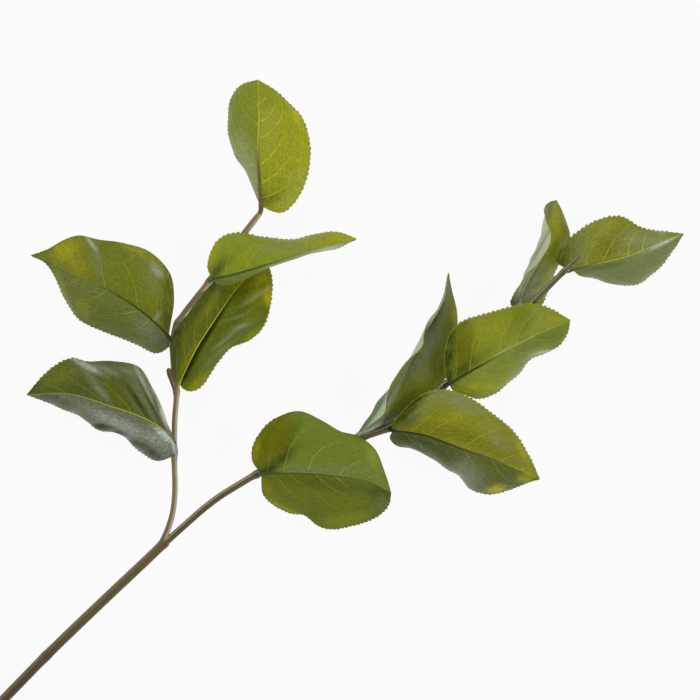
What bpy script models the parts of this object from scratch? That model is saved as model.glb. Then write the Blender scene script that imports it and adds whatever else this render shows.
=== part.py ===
"""A cut salal branch that lies on a surface: a forked stem with two shoots and eleven leaves.

The plan is drawn on a square sheet, x to the right and y down, in sheet units. Heights, widths
and radii are millimetres, and heights are measured from the surface that the branch lies on.
"""
from dataclasses import dataclass

import bmesh
import bpy
import numpy as np
from mathutils import Matrix, Vector

# Sheet and units. The sheet's origin is the middle of the branch's outline.
MM = 0.001
SHEET_UNIT = 0.55 * MM
SHEET_ORIGIN = (315.0, 418.5)

# Leaf blades, in millimetres. The veins leave the midrib on a slant and bow towards the tip.
BLADE_THICKNESS = 0.8
TOOTH_DEPTH = 0.8
TOOTH_FADE = 6.0
VEIN_SPACES = 7
VEIN_SLANT = 0.18
VEIN_BOW = 1.6
QUILT_HEIGHT = 0.5
QUILT_RISE = 2.0
ROWS_PER_SPACE = 2
COLUMNS = 3
EDGE_CUTS = 3
SHORTEST_EDGE = 0.5

# Midribs and leaf stalks, in millimetres
STALK_RADIUS = 1.15
RIB_BASE_RADIUS = 0.95
RIB_TIP_RADIUS = 0.4
RIB_DROP = 0.35
RIB_DROP_RISE = 8.0
RIB_POINTS = 16
RIB_END = 0.97

# Stem, in millimetres
STEM_RADII = (2.8, 2.5)
LEFT_SHOOT_RADII = (1.8, 1.7)
RIGHT_SHOOT_RADII = (2.15, 1.8)
BUD_STUB_RADII = (1.5, 1.4, 1.35, 1.35, 1.35, 1.3, 1.1, 0.6)
NODE_SWELLING = 0.45
NODE_REACH = 3.0
LEAF_GAP = 0.3
CUT_LEAN = 0.6
MAIN_POINTS = 22
SHOOT_POINTS = 44

# Roundness of the tubes, as extra segments in a quarter turn
MAIN_ROUNDNESS = 4
SHOOT_ROUNDNESS = 3
STUB_ROUNDNESS = 2
RIB_ROUNDNESS = 1

# Finish
BARK_COLOUR = (0.13, 0.09, 0.05)
BARK_ROUGHNESS = 0.55
LEAF_ROUGHNESS = 0.42
SHARP_ANGLE = 50.0

# Precision
FINE_STEPS = 400
TANGENT_STEP = 0.01
EDGE_TOLERANCE = 0.001
SHORTEST_VECTOR = 1e-9
MERGE_DISTANCE = 0.000005

# Routes on the sheet: x, y, height
MAIN_STEM = (
    (-56, 760, 2.6), (-44, 748, 2.9), (4, 700, 6), (47, 656, 9), (102, 602, 12.5), (143, 562, 15),
    (165, 541, 16),
)
LEFT_SHOOT = (
    (160, 546, 16), (167.5, 533, 16.5), (173.5, 513, 17.5), (175.5, 492, 18), (174.5, 456, 18.8),
    (175, 420, 19.3), (176.5, 392, 19.7), (173.5, 366, 20), (173, 340, 20), (177.5, 320, 20),
    (195.5, 301, 20.7), (212, 281.5, 21.3), (230, 256, 21.5), (245.5, 233, 21.7), (261, 212, 22.5),
)
RIGHT_SHOOT = (
    (157, 550, 16), (184, 525, 16.5), (204, 507, 17.5), (220, 495, 18), (241, 483, 19),
    (257, 474, 19.5), (300, 456, 20.5), (345, 441, 21.5), (365, 436, 22), (390, 427, 22.5),
    (415, 409, 23), (441, 388, 24), (470, 362, 25), (500, 334, 25.5), (532, 303, 26),
    (560, 275, 27), (579, 256, 27.8),
)
BUD_STUB = ((177, 394, 19.8), (173, 384, 20.5), (170, 375, 21), (168.5, 368, 21.5))
LEFT_NODES = (
    (175, 457, 19), (176.5, 391, 20), (173.5, 344, 20), (177, 320, 20.5), (209, 281, 21.5),
)
RIGHT_NODES = (
    (257, 474, 19.5), (363, 436, 22), (389, 428, 22.5), (442, 387, 24), (519, 316, 25.8),
    (565, 271, 27),
)
# Knobs on the stem: x, y, height, radius
KNOBS = (
    (44.5, 653, 10, 2.3),
    (166, 542, 17, 2.9),
    (175, 321, 20.5, 1.9),
)


@dataclass(frozen=True)
class Leaf:
    """One leaf, drawn by its stalk, its midrib and the two edges of its blade.

    The stalk runs from the stem's axis towards the blade, and the midrib from the blade's base to
    its tip. An edge leaves out the base and the tip. Its fourth number is how far the blade
    between midrib and edge bulges, upwards where it is positive.
    """

    name: str
    stalk: tuple
    midrib: tuple
    left: tuple
    right: tuple
    colour: tuple


LEAVES = (
    Leaf(
        name="leaf_left_1",
        stalk=((174.8, 458.5, 19), (174.5, 454.5, 21)),
        midrib=((173, 449.5, 22.3), (151, 421.5, 24), (112, 406, 22.5), (69, 393, 16.5), (26, 395, 7)),
        left=(
            (169, 458.5, 16, 1), (154, 460.5, 7, 3), (137, 448, 2.5, 4), (118, 432.5, 1.1, 4),
            (100, 430, 1.1, 4), (80, 416.5, 2, 3), (58, 406, 4.5, 2), (41, 399, 7, 0),
        ),
        right=(
            (175.5, 438, 23.5, 0), (167, 415, 25, 1), (153, 388, 26, 2), (138, 367, 25.5, 2),
            (112, 361.5, 24, 2), (87, 363, 22, 2), (72, 359, 18, 2), (54, 366.5, 14, 1),
            (38, 381, 10, 0),
        ),
        colour=(0.14, 0.2, 0.03),
    ),
    Leaf(
        name="leaf_left_2",
        stalk=((173.5, 344, 20), (171.5, 340.5, 21)),
        midrib=((168.5, 336.5, 21.5), (144, 313, 23), (110, 290.5, 20.5), (69, 271.5, 12),
                (49, 260, 6), (30, 255, 1)),
        left=(
            (168, 345, 17, 1), (157, 352.5, 12, 2), (139, 345, 8, 3), (120, 337, 6.5, 3),
            (95, 328, 5, 3), (76, 316, 3.5, 3), (65, 300, 2.5, 2), (57, 282, 2.5, 1),
            (44, 263.5, 3.2, 0),
        ),
        right=(
            (170, 323, 24, 0), (173.5, 300, 26, 1), (170.5, 273, 27, 2), (150, 252, 26, 2),
            (123, 243, 23, 2), (98, 239.5, 18, 2), (80, 235.5, 15, 2), (64, 239.5, 10, 1),
            (46, 249.5, 5, 0),
        ),
        colour=(0.15, 0.19, 0.03),
    ),
    Leaf(
        name="leaf_left_3",
        stalk=((176.5, 391, 20), (178, 387.5, 21.7)),
        midrib=((179.5, 383.5, 23), (196, 349, 22.5), (217, 316, 17.5), (237, 288, 10.5), (264, 262, 3.5)),
        left=(
            (176, 378, 25.5, 0), (171.5, 362, 29, -1), (171.5, 345, 32, -1), (177, 329, 33, -1),
            (192, 312, 30, -1), (206, 294, 21, 0), (222, 278, 12, 0), (245, 266, 6, 0),
        ),
        right=(
            (184, 388.5, 20.5, 0), (193, 390.5, 18.5, 1), (206, 381, 16, 2), (222, 357.5, 13.5, 2),
            (243, 341, 11, 2), (262, 328, 8, 2), (270, 303, 5.5, 2), (271.5, 281, 4, 1),
            (269, 268, 3.5, 0),
        ),
        colour=(0.13, 0.17, 0.02),
    ),
    Leaf(
        name="leaf_left_4",
        stalk=((209, 282, 21.5), (210.5, 280.5, 24)),
        midrib=((213, 279, 26.5), (231, 275.5, 30), (251, 270, 31.5), (290, 258, 31), (322, 248, 28), (356, 239, 22)),
        left=(
            (208, 269, 28, 0), (210.5, 255, 29.5, 1), (219, 240, 30, 1), (235, 233.5, 30, 1),
            (260, 237, 25.5, 2), (288, 240, 20, 2), (312, 235.5, 17, 2), (333, 232, 17.5, 1),
            (348, 235.5, 20.5, 0),
        ),
        right=(
            (217, 283.5, 24, 0), (228, 284.5, 19, 1), (241, 281, 15.5, 1), (256, 271.5, 13.5, 1),
            (275, 262.5, 13.5, 1), (295, 256, 14, 1), (315, 252, 16.5, 0), (335, 249, 19, 0),
            (347, 243.5, 21, 0),
        ),
        colour=(0.22, 0.27, 0.05),
    ),
    Leaf(
        name="leaf_left_5",
        stalk=((259.5, 214, 22.3), (261, 210, 23)),
        midrib=((261, 206, 24), (259.3, 177, 26), (258, 154, 25), (259, 118, 18.5), (257.5, 79, 4)),
        left=(
            (257, 198, 21, 0), (251.5, 184, 15, 1), (243, 167, 9, 2), (234, 153, 5, 3),
            (229, 135, 2, 3), (228, 115, 1.1, 3), (231.5, 97, 1, 2), (240, 85, 1.5, 1),
        ),
        right=(
            (270, 210.5, 23, 0), (281, 212.5, 22, 1), (290, 207, 21, 1), (301, 191.5, 20, 2),
            (309, 165, 18.5, 3), (309, 142, 17, 3), (303, 120, 13, 2), (292, 106.5, 10, 2),
            (276, 91, 6.5, 1),
        ),
        colour=(0.2, 0.26, 0.04),
    ),
    Leaf(
        name="leaf_right_1",
        stalk=((257, 474, 19.5), (259, 474, 22)),
        midrib=((262, 473.5, 24.5), (290, 471.5, 28), (331, 474, 27.5), (366, 480, 22.5), (391, 492.5, 16)),
        left=(
            (253, 462, 25.5, 0), (252.5, 449, 27, 0), (259, 434.5, 28, 0), (273, 420, 29, 1),
            (298, 411, 29, 2), (323, 421, 29.5, 2), (340, 431, 29, 2), (358, 436, 28, 2),
            (374, 448, 26, 1), (384, 470, 20, 0),
        ),
        right=(
            (261.5, 483, 23, 0), (263, 493, 20, 1), (273, 504.5, 17, 2), (290, 512.5, 14.5, 2),
            (304, 515, 13.5, 2), (318, 525.5, 12.5, 2), (334, 529, 12, 2), (356, 524.5, 11, 2),
            (378, 516, 11, 1), (389, 504, 12.5, 0),
        ),
        colour=(0.18, 0.23, 0.05),
    ),
    Leaf(
        name="leaf_right_2",
        stalk=((362, 436, 22), (364, 432.5, 23.3)),
        midrib=((367, 429, 24.5), (387, 405, 25), (398, 384, 24), (411, 361, 22), (430, 326, 18.5), (443, 301, 15),
                (448.5, 273, 12)),
        left=(
            (373, 424.5, 31, -4), (384, 414, 37, -6.5), (387.5, 398, 39, -3.5), (391.5, 383, 39, 0),
            (401, 369, 38, 0), (411, 358, 36, -1), (421.5, 346, 33, -2), (424.5, 332, 31, -1),
            (430, 319, 28, 0), (437.5, 309, 24, 0), (444.5, 294, 18.5, 0),
        ),
        right=(
            (373, 428.5, 22.5, 0), (386, 421, 20, 0), (409, 404, 17.5, 1), (431, 388, 16, 2),
            (444.5, 374, 15, 2), (452, 353, 13, 2), (457, 329, 11, 2), (457, 311, 10.5, 1),
            (452, 291, 11, 0),
        ),
        colour=(0.12, 0.16, 0.05),
    ),
    Leaf(
        name="leaf_right_3",
        stalk=((388, 428.5, 22.5), (390, 429.5, 24.5)),
        midrib=((393, 430.5, 26.5), (422, 434.5, 29), (463, 449, 26.5), (500, 461.5, 19.5), (540, 479, 9)),
        left=(
            (392.5, 423, 28, 0), (402, 413, 29.5, 0), (413, 400, 31, 1), (428, 392, 32, 1),
            (447, 391.5, 32, 2), (471, 399, 30.5, 2), (492, 414, 27, 2), (512.5, 431, 21, 1),
            (529, 456, 14, 0),
        ),
        right=(
            (391.5, 438, 22, 0), (397.5, 445, 17, 1), (413, 449.5, 11, 2), (432, 458, 6, 3),
            (447, 469.5, 2.5, 4), (459, 475, 1.2, 4), (471, 489.5, 1, 4), (488, 494, 1, 3),
            (509, 490.5, 1.5, 2), (526, 483.5, 4.5, 1),
        ),
        colour=(0.15, 0.18, 0.03),
    ),
    Leaf(
        name="leaf_right_4",
        stalk=((442, 387, 24), (445, 385.5, 26)),
        midrib=((449, 383.5, 28), (471, 371, 30.5), (494, 358, 31.5), (529, 338, 28.5), (570, 320, 21.5)),
        left=(
            (445.5, 376, 29, 0), (444, 361, 30, 0), (446, 345, 31, 0), (452, 330, 32, 1),
            (464, 321, 32, 1), (485, 314.5, 32, 1), (508, 308, 31.5, 1), (530, 304, 31, 1),
            (547, 308, 28.5, 0), (561, 315, 25, 0),
        ),
        right=(
            (457, 388.5, 26, 0), (467, 392, 23.5, 1), (480, 397, 20, 2), (495, 392, 17, 2),
            (508, 383, 14.5, 3), (519, 372.5, 12.5, 3), (530, 360, 11.5, 3), (545, 352.5, 12.5, 2),
            (559, 345.5, 14.5, 1), (567.5, 332, 17.5, 0),
        ),
        colour=(0.2, 0.26, 0.05),
    ),
    Leaf(
        name="leaf_right_5",
        stalk=((519, 316, 25.8), (519, 311.5, 22.5)),
        midrib=((519, 306.5, 20.5), (522.5, 294, 19), (530, 277, 19), (540, 260, 18.5), (547, 240, 17), (550, 219, 13), (557, 199.5, 4)),
        left=(
            (510.5, 304, 22, 0), (513, 291.5, 26, 0), (519.5, 283.5, 29, -1), (527.5, 273, 32, -3),
            (540, 262, 34.5, -5), (548.5, 251, 35, -5.5), (551.5, 239, 33, -5), (549, 228, 29, -4),
            (545.5, 219, 24, -2), (544.5, 211, 18, 0), (549, 203, 11, 0),
        ),
        right=(
            (528, 308.5, 18, 0), (541.5, 304.5, 14, 0), (547, 293, 11, 1), (552.5, 279.5, 8, 2),
            (559, 263, 6, 2), (566, 248, 4, 2), (570, 235, 2.5, 1), (568, 224, 1.5, 1),
            (563, 211.5, 1.5, 0),
        ),
        colour=(0.2, 0.24, 0.05),
    ),
    Leaf(
        name="leaf_right_6",
        stalk=((564, 272, 27), (568, 272, 24.5)),
        midrib=((573, 270.3, 22.5), (599, 263, 22), (628.5, 256, 19), (661, 242.5, 13), (684, 233.5, 8)),
        left=(
            (565, 268, 21.5, 0), (556, 260.5, 20.5, 0), (560, 249.5, 20, 0), (573, 236, 20.5, 1),
            (598, 220.5, 21, 2), (621, 217, 19, 2), (643, 228.5, 16, 1), (668, 232, 10, 0),
        ),
        right=(
            (579, 275, 18, 0), (591, 277, 12, 1), (607, 281.5, 5.5, 2), (627, 285, 1.5, 3),
            (643, 281, 1.1, 3), (656, 271, 1, 2), (668, 258, 1.5, 1), (677, 245, 4, 0),
        ),
        colour=(0.19, 0.25, 0.05),
    ),
)


def placed(rows):
    """Rows of sheet x, sheet y and height, with any more columns in mm, in the part's metres."""
    rows = np.array(rows, dtype=float)
    rows[:, 0] = (rows[:, 0] - SHEET_ORIGIN[0]) * SHEET_UNIT
    rows[:, 1] = (SHEET_ORIGIN[1] - rows[:, 1]) * SHEET_UNIT
    rows[:, 2:] *= MM
    return rows


def smooth_line(rows, steps=FINE_STEPS):
    """Rows at even lengths along a smooth curve through the given rows."""
    spans = np.linalg.norm(np.diff(rows[:, :3], axis=0), axis=1)
    knots = np.concatenate(([0.0], np.cumsum(np.sqrt(spans))))
    slopes = np.gradient(rows, knots, axis=0)
    at = np.linspace(0.0, knots[-1], FINE_STEPS)
    first = np.clip(np.searchsorted(knots, at, side="right") - 1, 0, len(rows) - 2)
    width = (knots[first + 1] - knots[first])[:, None]
    part = (at - knots[first])[:, None] / width
    rest = 1.0 - part
    curve = rest**2 * (1.0 + 2.0 * part) * rows[first]
    curve += part**2 * (3.0 - 2.0 * part) * rows[first + 1]
    curve += part * rest * width * (rest * slopes[first] - part * slopes[first + 1])
    lengths = np.concatenate(([0.0], np.cumsum(np.linalg.norm(np.diff(curve[:, :3], axis=0), axis=1))))
    even = np.linspace(0.0, lengths[-1], steps)
    return np.stack([np.interp(even, lengths, column) for column in curve.T], axis=1)


def on_line(line, share):
    """The row at a share of the line's length."""
    shares = np.linspace(0.0, 1.0, len(line))
    return np.array([np.interp(share, shares, column) for column in line.T])


def unit(vector):
    """The vector at length one, or straight up where it has no length."""
    length = np.linalg.norm(vector)
    return vector / length if length > SHORTEST_VECTOR else np.array((0.0, 0.0, 1.0))


class Blade:
    """The curved middle surface of a leaf's blade."""

    def __init__(self, leaf):
        base = placed(leaf.midrib[:1])
        self.rib = smooth_line(placed(leaf.stalk + leaf.midrib))
        start = int(np.argmin(np.linalg.norm(self.rib - base, axis=1)))
        self.midrib = self.rib[start:]
        self.base_share = start / (len(self.rib) - 1)
        ends = np.hstack((self.midrib[[0, -1]], np.zeros((2, 1))))
        self.edges = {
            1: smooth_line(np.vstack((ends[0], placed(leaf.left), ends[1]))),
            -1: smooth_line(np.vstack((ends[0], placed(leaf.right), ends[1]))),
        }

    def along(self, share):
        """Unit vector along the midrib."""
        ahead = on_line(self.midrib, min(share + TANGENT_STEP, 1.0))
        behind = on_line(self.midrib, max(share - TANGENT_STEP, 0.0))
        return unit(ahead - behind)

    def upward(self, side, share):
        """Unit vector off the blade's upper face, between midrib and edge."""
        chord = on_line(self.edges[side], share)[:3] - on_line(self.midrib, share)
        return unit(np.cross(self.along(share), chord) * side)

    def rib_upward(self, share):
        """Unit vector off the upper face at the midrib."""
        return unit(self.upward(1, share) + self.upward(-1, share))

    def point(self, side, row, across):
        """Point of the blade, where row runs along the veins' starts and across to the edge."""
        share = row + VEIN_SLANT * np.sin(np.pi * row) ** 2 * across**VEIN_BOW
        inner = on_line(self.midrib, share)
        outer = on_line(self.edges[side], share)
        hump = 4.0 * across * (1.0 - across)
        quilt = QUILT_HEIGHT * MM * np.sin(np.pi * VEIN_SPACES * row) ** 2
        lift = (outer[3] + quilt * min(1.0, QUILT_RISE * across)) * hump
        return inner + (outer[:3] - inner) * across + self.upward(side, share) * lift

    def tooth(self, side, row):
        """Point at a tooth's tip, off the edge. The teeth fade towards the base and the tip."""
        edge = self.point(side, row, 1.0)
        outward = unit(edge - self.point(side, row, 1.0 - TANGENT_STEP))
        ends = min(1.0, TOOTH_FADE * row, TOOTH_FADE * (1.0 - row))
        return edge + outward * TOOTH_DEPTH * MM * max(0.0, ends)


def finish(made, colour, roughness):
    """Gives the object its own plain plant material and smooth shading."""
    surface = bpy.data.materials.new(made.name + "_surface")
    surface.use_nodes = True
    shader = surface.node_tree.nodes["Principled BSDF"]
    shader.inputs["Base Color"].default_value = (*colour, 1.0)
    shader.inputs["Roughness"].default_value = roughness
    shader.inputs["Metallic"].default_value = 0.0
    made.data.materials.clear()
    made.data.materials.append(surface)
    made.data.shade_smooth()
    made.data.set_sharp_from_angle(angle=np.radians(SHARP_ANGLE))


def new_object(name, data):
    """An object in the scene."""
    made = bpy.data.objects.new(name, data)
    bpy.context.scene.collection.objects.link(made)
    return made


def evaluated_mesh(source):
    """A mesh of the object with its modifiers applied, merged where the pieces meet."""
    depsgraph = bpy.context.evaluated_depsgraph_get()
    mesh = bpy.data.meshes.new_from_object(source.evaluated_get(depsgraph))
    shape = bmesh.new()
    shape.from_mesh(mesh)
    bmesh.ops.remove_doubles(shape, verts=shape.verts, dist=MERGE_DISTANCE)
    shape.to_mesh(mesh)
    shape.free()
    return mesh


def combined(base, others, operation, solver):
    """The base with one Boolean on a collection of the others, which are then removed."""
    group = bpy.data.collections.new(base.name + "_group")
    bpy.context.scene.collection.children.link(group)
    for other in others:
        group.objects.link(other)
    modifier = base.modifiers.new(operation.title(), "BOOLEAN")
    modifier.operation = operation
    modifier.solver = solver
    modifier.operand_type = "COLLECTION"
    modifier.collection = group
    mesh = evaluated_mesh(base)
    base.modifiers.clear()
    base.data = mesh
    for other in others:
        bpy.data.objects.remove(other)
    bpy.data.collections.remove(group)
    return base


def tube(name, centres, radii, roundness):
    """A round tube with closed ends, through the centres."""
    curve = bpy.data.curves.new(name, "CURVE")
    curve.dimensions = "3D"
    curve.bevel_depth = 1.0
    curve.bevel_resolution = roundness
    curve.use_fill_caps = True
    spline = curve.splines.new("POLY")
    spline.points.add(len(centres) - 1)
    for point, centre, radius in zip(spline.points, centres, radii):
        point.co = (*centre, 1.0)
        point.radius = radius
    drawn = new_object(name + "_curve", curve)
    mesh = evaluated_mesh(drawn)
    bpy.data.objects.remove(drawn)
    return new_object(name, mesh)


def knob(name, centre, radius):
    """A round knob."""
    shape = bmesh.new()
    bmesh.ops.create_icosphere(shape, subdivisions=2, radius=radius, matrix=Matrix.Translation(centre))
    mesh = bpy.data.meshes.new(name)
    shape.to_mesh(mesh)
    shape.free()
    return new_object(name, mesh)


def shoot_radii(centres, ends, nodes, extra):
    """Radii that taper along a shoot and swell where leaves grow."""
    radii = np.linspace(*ends, len(centres)) * MM + extra
    for node in placed(nodes):
        distance = np.linalg.norm(centres - node, axis=1)
        radii += NODE_SWELLING * MM * np.exp(-((distance / (NODE_REACH * MM)) ** 2))
    return radii


def lengthened(line, extra):
    """The line with both of its ends moved out by extra metres."""
    longer = line.copy()
    longer[0] += unit(line[0] - line[1]) * extra
    longer[-1] += unit(line[-1] - line[-2]) * extra
    return longer


def cut_root(stem):
    """Cuts the stem's root end on a slant, and closes it."""
    root, ahead = placed(MAIN_STEM[:2])
    along = Vector(ahead - root).normalized()
    shape = bmesh.new()
    shape.from_mesh(stem.data)
    bmesh.ops.bisect_plane(
        shape,
        geom=shape.verts[:] + shape.edges[:] + shape.faces[:],
        dist=MERGE_DISTANCE,
        plane_co=(root + ahead) / 2,
        plane_no=along + Vector((0.0, 0.0, CUT_LEAN)),
        clear_inner=True,
    )
    rim = [edge for edge in shape.edges if edge.is_boundary]
    bmesh.ops.holes_fill(shape, edges=rim, sides=len(rim))
    shape.to_mesh(stem.data)
    shape.free()


def build_stem(name, extra=0.0):
    """The forked stem in one solid, grown by extra metres all round."""
    main = smooth_line(placed(MAIN_STEM), MAIN_POINTS)
    main_radii = np.linspace(*STEM_RADII, MAIN_POINTS) * MM + extra
    stem = tube(name, main, main_radii, MAIN_ROUNDNESS)
    cut_root(stem)
    left = lengthened(smooth_line(placed(LEFT_SHOOT), SHOOT_POINTS), extra)
    right = lengthened(smooth_line(placed(RIGHT_SHOOT), SHOOT_POINTS), extra)
    stub = lengthened(smooth_line(placed(BUD_STUB), len(BUD_STUB_RADII)), extra)
    left_radii = shoot_radii(left, LEFT_SHOOT_RADII, LEFT_NODES, extra)
    right_radii = shoot_radii(right, RIGHT_SHOOT_RADII, RIGHT_NODES, extra)
    stub_radii = np.array(BUD_STUB_RADII) * MM + extra
    pieces = [
        tube("left_shoot", left, left_radii, SHOOT_ROUNDNESS),
        tube("right_shoot", right, right_radii, SHOOT_ROUNDNESS),
        tube("bud_stub", stub, stub_radii, STUB_ROUNDNESS),
    ]
    for x, y, height, radius in KNOBS:
        centre = placed(((x, y, height),))[0]
        pieces.append(knob("knob", centre, radius * MM + extra))
    return combined(stem, pieces, "UNION", "EXACT")


def build_blade(leaf, blade):
    """The toothed blade, split into triangles before it gets its thickness.

    It starts as a flat grid from -1 to 1, along x from base to tip and along y from edge to edge,
    whose two long edges are cut finer, with a tooth at every second point.
    """
    rows = VEIN_SPACES * ROWS_PER_SPACE
    inside = 1.0 - EDGE_TOLERANCE
    shape = bmesh.new()
    bmesh.ops.create_grid(shape, x_segments=rows, y_segments=2 * COLUMNS, size=1.0)
    edges = [edge for edge in shape.edges if all(abs(vert.co.y) > inside for vert in edge.verts)]
    bmesh.ops.subdivide_edges(shape, edges=edges, cuts=EDGE_CUTS)
    for vert in shape.verts:
        row = (vert.co.x + 1.0) / 2.0
        side = 1 if vert.co.y > 0.0 else -1
        across = min(1.0, abs(vert.co.y))
        step = round(row * rows * (EDGE_CUTS + 1))
        at_tooth = across > inside and step % 2 == 1
        vert.co = blade.tooth(side, row) if at_tooth else blade.point(side, row, across)
    bmesh.ops.remove_doubles(shape, verts=shape.verts, dist=SHORTEST_EDGE * MM)
    bmesh.ops.triangulate(shape, faces=shape.faces[:])
    mesh = bpy.data.meshes.new(leaf.name)
    shape.to_mesh(mesh)
    shape.free()
    made = new_object(leaf.name, mesh)
    wall = made.modifiers.new("Thickness", "SOLIDIFY")
    wall.thickness = BLADE_THICKNESS * MM
    wall.offset = 0.0
    return made


def build_rib(blade):
    """The stalk and the midrib: one tapered tube that stands out below the blade."""
    centres = []
    radii = []
    for share in np.linspace(0.0, RIB_END, RIB_POINTS):
        on_blade = max(0.0, (share - blade.base_share) / (1.0 - blade.base_share))
        drop = RIB_DROP * MM * min(1.0, RIB_DROP_RISE * on_blade)
        centres.append(on_line(blade.rib, share) - blade.rib_upward(on_blade) * drop)
        rib_radius = RIB_BASE_RADIUS + (RIB_TIP_RADIUS - RIB_BASE_RADIUS) * on_blade
        radii.append((rib_radius if on_blade > 0.0 else STALK_RADIUS) * MM)
    return tube("rib", centres, radii, RIB_ROUNDNESS)


def build_leaf(leaf, seat):
    """A leaf in one solid, its stalk cut to sit on the stem."""
    blade = Blade(leaf)
    made = build_blade(leaf, blade)
    made = combined(made, [build_rib(blade)], "UNION", "MANIFOLD")
    cutter = seat.copy()
    cutter.data = seat.data.copy()
    bpy.context.scene.collection.objects.link(cutter)
    made = combined(made, [cutter], "DIFFERENCE", "MANIFOLD")
    finish(made, leaf.colour, LEAF_ROUGHNESS)


def build_branch():
    """The stem and its leaves."""
    for old in list(bpy.data.objects):
        bpy.data.objects.remove(old)
    stem = build_stem("stem")
    finish(stem, BARK_COLOUR, BARK_ROUGHNESS)
    seat = build_stem("seat", LEAF_GAP * MM)
    for leaf in LEAVES:
        build_leaf(leaf, seat)
    bpy.data.objects.remove(seat)


build_branch()
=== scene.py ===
"""The looks of a cut salal branch that lies on a pale surface.

The plan is drawn on a square sheet, x to the right and y down, in sheet units. Heights, widths and
radii are millimetres, and heights are measured from the surface that the branch lies on. A leaf's
left and right are those of a viewer who looks down on it, from its base to its tip. Places on a
blade are a share of the way from its base to its tip, and a share of the way across one half, from
the midrib to the edge. Colours are the red, green and blue of a screen, from 0 to 255.

A pair named a step is where a smooth change starts and ends. A row named a mix is a plain number
and then the weights of the things that are added to it. A bump is its depth and its strength.
"""
from __future__ import annotations

import logging
import math
from dataclasses import dataclass
from enum import Enum

import bmesh
import bpy
import numpy as np
from mathutils import Matrix, Vector


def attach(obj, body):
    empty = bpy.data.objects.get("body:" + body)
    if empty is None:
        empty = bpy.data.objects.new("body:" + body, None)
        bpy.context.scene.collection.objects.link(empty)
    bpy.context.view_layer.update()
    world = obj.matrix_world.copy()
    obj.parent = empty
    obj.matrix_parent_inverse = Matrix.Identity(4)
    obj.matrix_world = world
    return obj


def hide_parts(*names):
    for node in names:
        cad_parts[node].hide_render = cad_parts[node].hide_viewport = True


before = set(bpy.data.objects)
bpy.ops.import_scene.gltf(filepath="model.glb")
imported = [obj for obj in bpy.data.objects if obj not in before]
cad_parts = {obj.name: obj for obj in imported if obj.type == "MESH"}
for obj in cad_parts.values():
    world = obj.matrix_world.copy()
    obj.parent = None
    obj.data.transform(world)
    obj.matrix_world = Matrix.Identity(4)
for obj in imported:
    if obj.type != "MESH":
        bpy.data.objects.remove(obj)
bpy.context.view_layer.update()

LOG = logging.getLogger("branch")

MM = 0.001
SHEET_UNIT = 0.55 * MM
SHEET_ORIGIN = (315.0, 418.5)
SHEET_MIDDLE = (350.0, 350.0)
SHEET_WIDTH = 700.0
BODY = "root"

FINE_STEPS = 400
TANGENT_STEP = 0.01
SHORTEST_VECTOR = 1e-9
TINY_SHARE = 1e-6
UPWARD = (0.0, 0.0, 1.0)
MERGE_DISTANCE = 0.000002
HALF_PHASE = 0.5
NOISE_MIDDLE = 0.5
GOLDEN = 0.618034
HUMP_SCALE = 4.0

# The numbers of a Mix node's sockets for colours.
MIX_SHARE, MIX_FIRST, MIX_SECOND, MIX_RESULT = 0, 6, 7, 2

# How a screen colour becomes a linear one.
FULL_SCREEN = 255.0
SCREEN_DARK = 0.04045
SCREEN_DARK_SLOPE = 12.92
SCREEN_OFFSET = 0.055
SCREEN_POWER = 2.4

Rgb = tuple[float, float, float]
Row = tuple[float, ...]


class Side(Enum):
    """The two halves of a blade."""

    LEFT = 1
    RIGHT = -1


class Tone(Enum):
    """What a soft patch on a blade turns towards. The value names the mesh attribute.

    SHADE is for the underside, and the others for the upper face. The dark tone is painted shade, the
    grey and pale tones are painted sheen and reflection, and the yellow tone is partly the leaf's own
    yellow and partly painted glow of light through the blade.
    """

    OLIVE = "olive"
    # Partly the leaf's own yellow, partly painted glow of light through the blade.
    YELLOW = "yellow"
    # Painted shade.
    DARK = "dark"
    # Painted sheen and reflection.
    GREY = "grey"
    # Brighter painted sheen and highlights.
    PALE = "pale"
    SHADE = "shade"


class Noise(Enum):
    """Soft noises, by their waves in a metre and their finer layers."""

    WANDER = (120.0, 3.0)
    BLOTCH = (170.0, 4.0)
    WOBBLE = (260.0, 2.0)
    MOTTLE = (520.0, 3.0)
    GRAIN = (1900.0, 2.0)
    UNDER_MOTTLE = (420.0, 3.0)
    UNDER_GRAIN = (1700.0, 2.0)
    RIB_GRAIN = (900.0, 2.0)
    BARK_GRAIN = (700.0, 4.0)


# The tones' colours: the dark one paints shade, the grey and pale ones sheen and reflection, and the yellow
# one is partly painted glow of light through the blade.
TONE_COLOURS: dict[Tone, Rgb] = {
    Tone.OLIVE: (98, 100, 2),
    Tone.YELLOW: (172, 168, 14),
    Tone.GREY: (122, 132, 104),
    Tone.DARK: (44, 58, 16),
    Tone.PALE: (196, 204, 190),
}

# How much the painted sheen of the grey and pale tones rises and falls with the ridges between veins.
SHEEN_ON_RIDGES = {Tone.GREY: 0.35, Tone.PALE: 0.4}

# What Tone.SHADE turns towards.
SHADED: Rgb = (100, 118, 80)

# The side veins of a half blade that has no others.
VEINS: tuple[Row, ...] = (
    (0.08, 0.35), (0.22, 0.4), (0.37, 0.4), (0.53, 0.35), (0.7, 0.25), (0.85, 0.12),
)


def linear(colour: Rgb) -> tuple[float, ...]:
    """A screen colour as the shader's linear red, green, blue and alpha.

    Args:
        colour: Red, green and blue from 0 to 255.

    Returns:
        The same colour in linear numbers from 0 to 1, with an alpha of 1.
    """
    parts = []
    for share in (part / FULL_SCREEN for part in colour):
        bright = ((share + SCREEN_OFFSET) / (1.0 + SCREEN_OFFSET)) ** SCREEN_POWER
        parts.append(share / SCREEN_DARK_SLOPE if share <= SCREEN_DARK else bright)
    return (*parts, 1.0)


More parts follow.
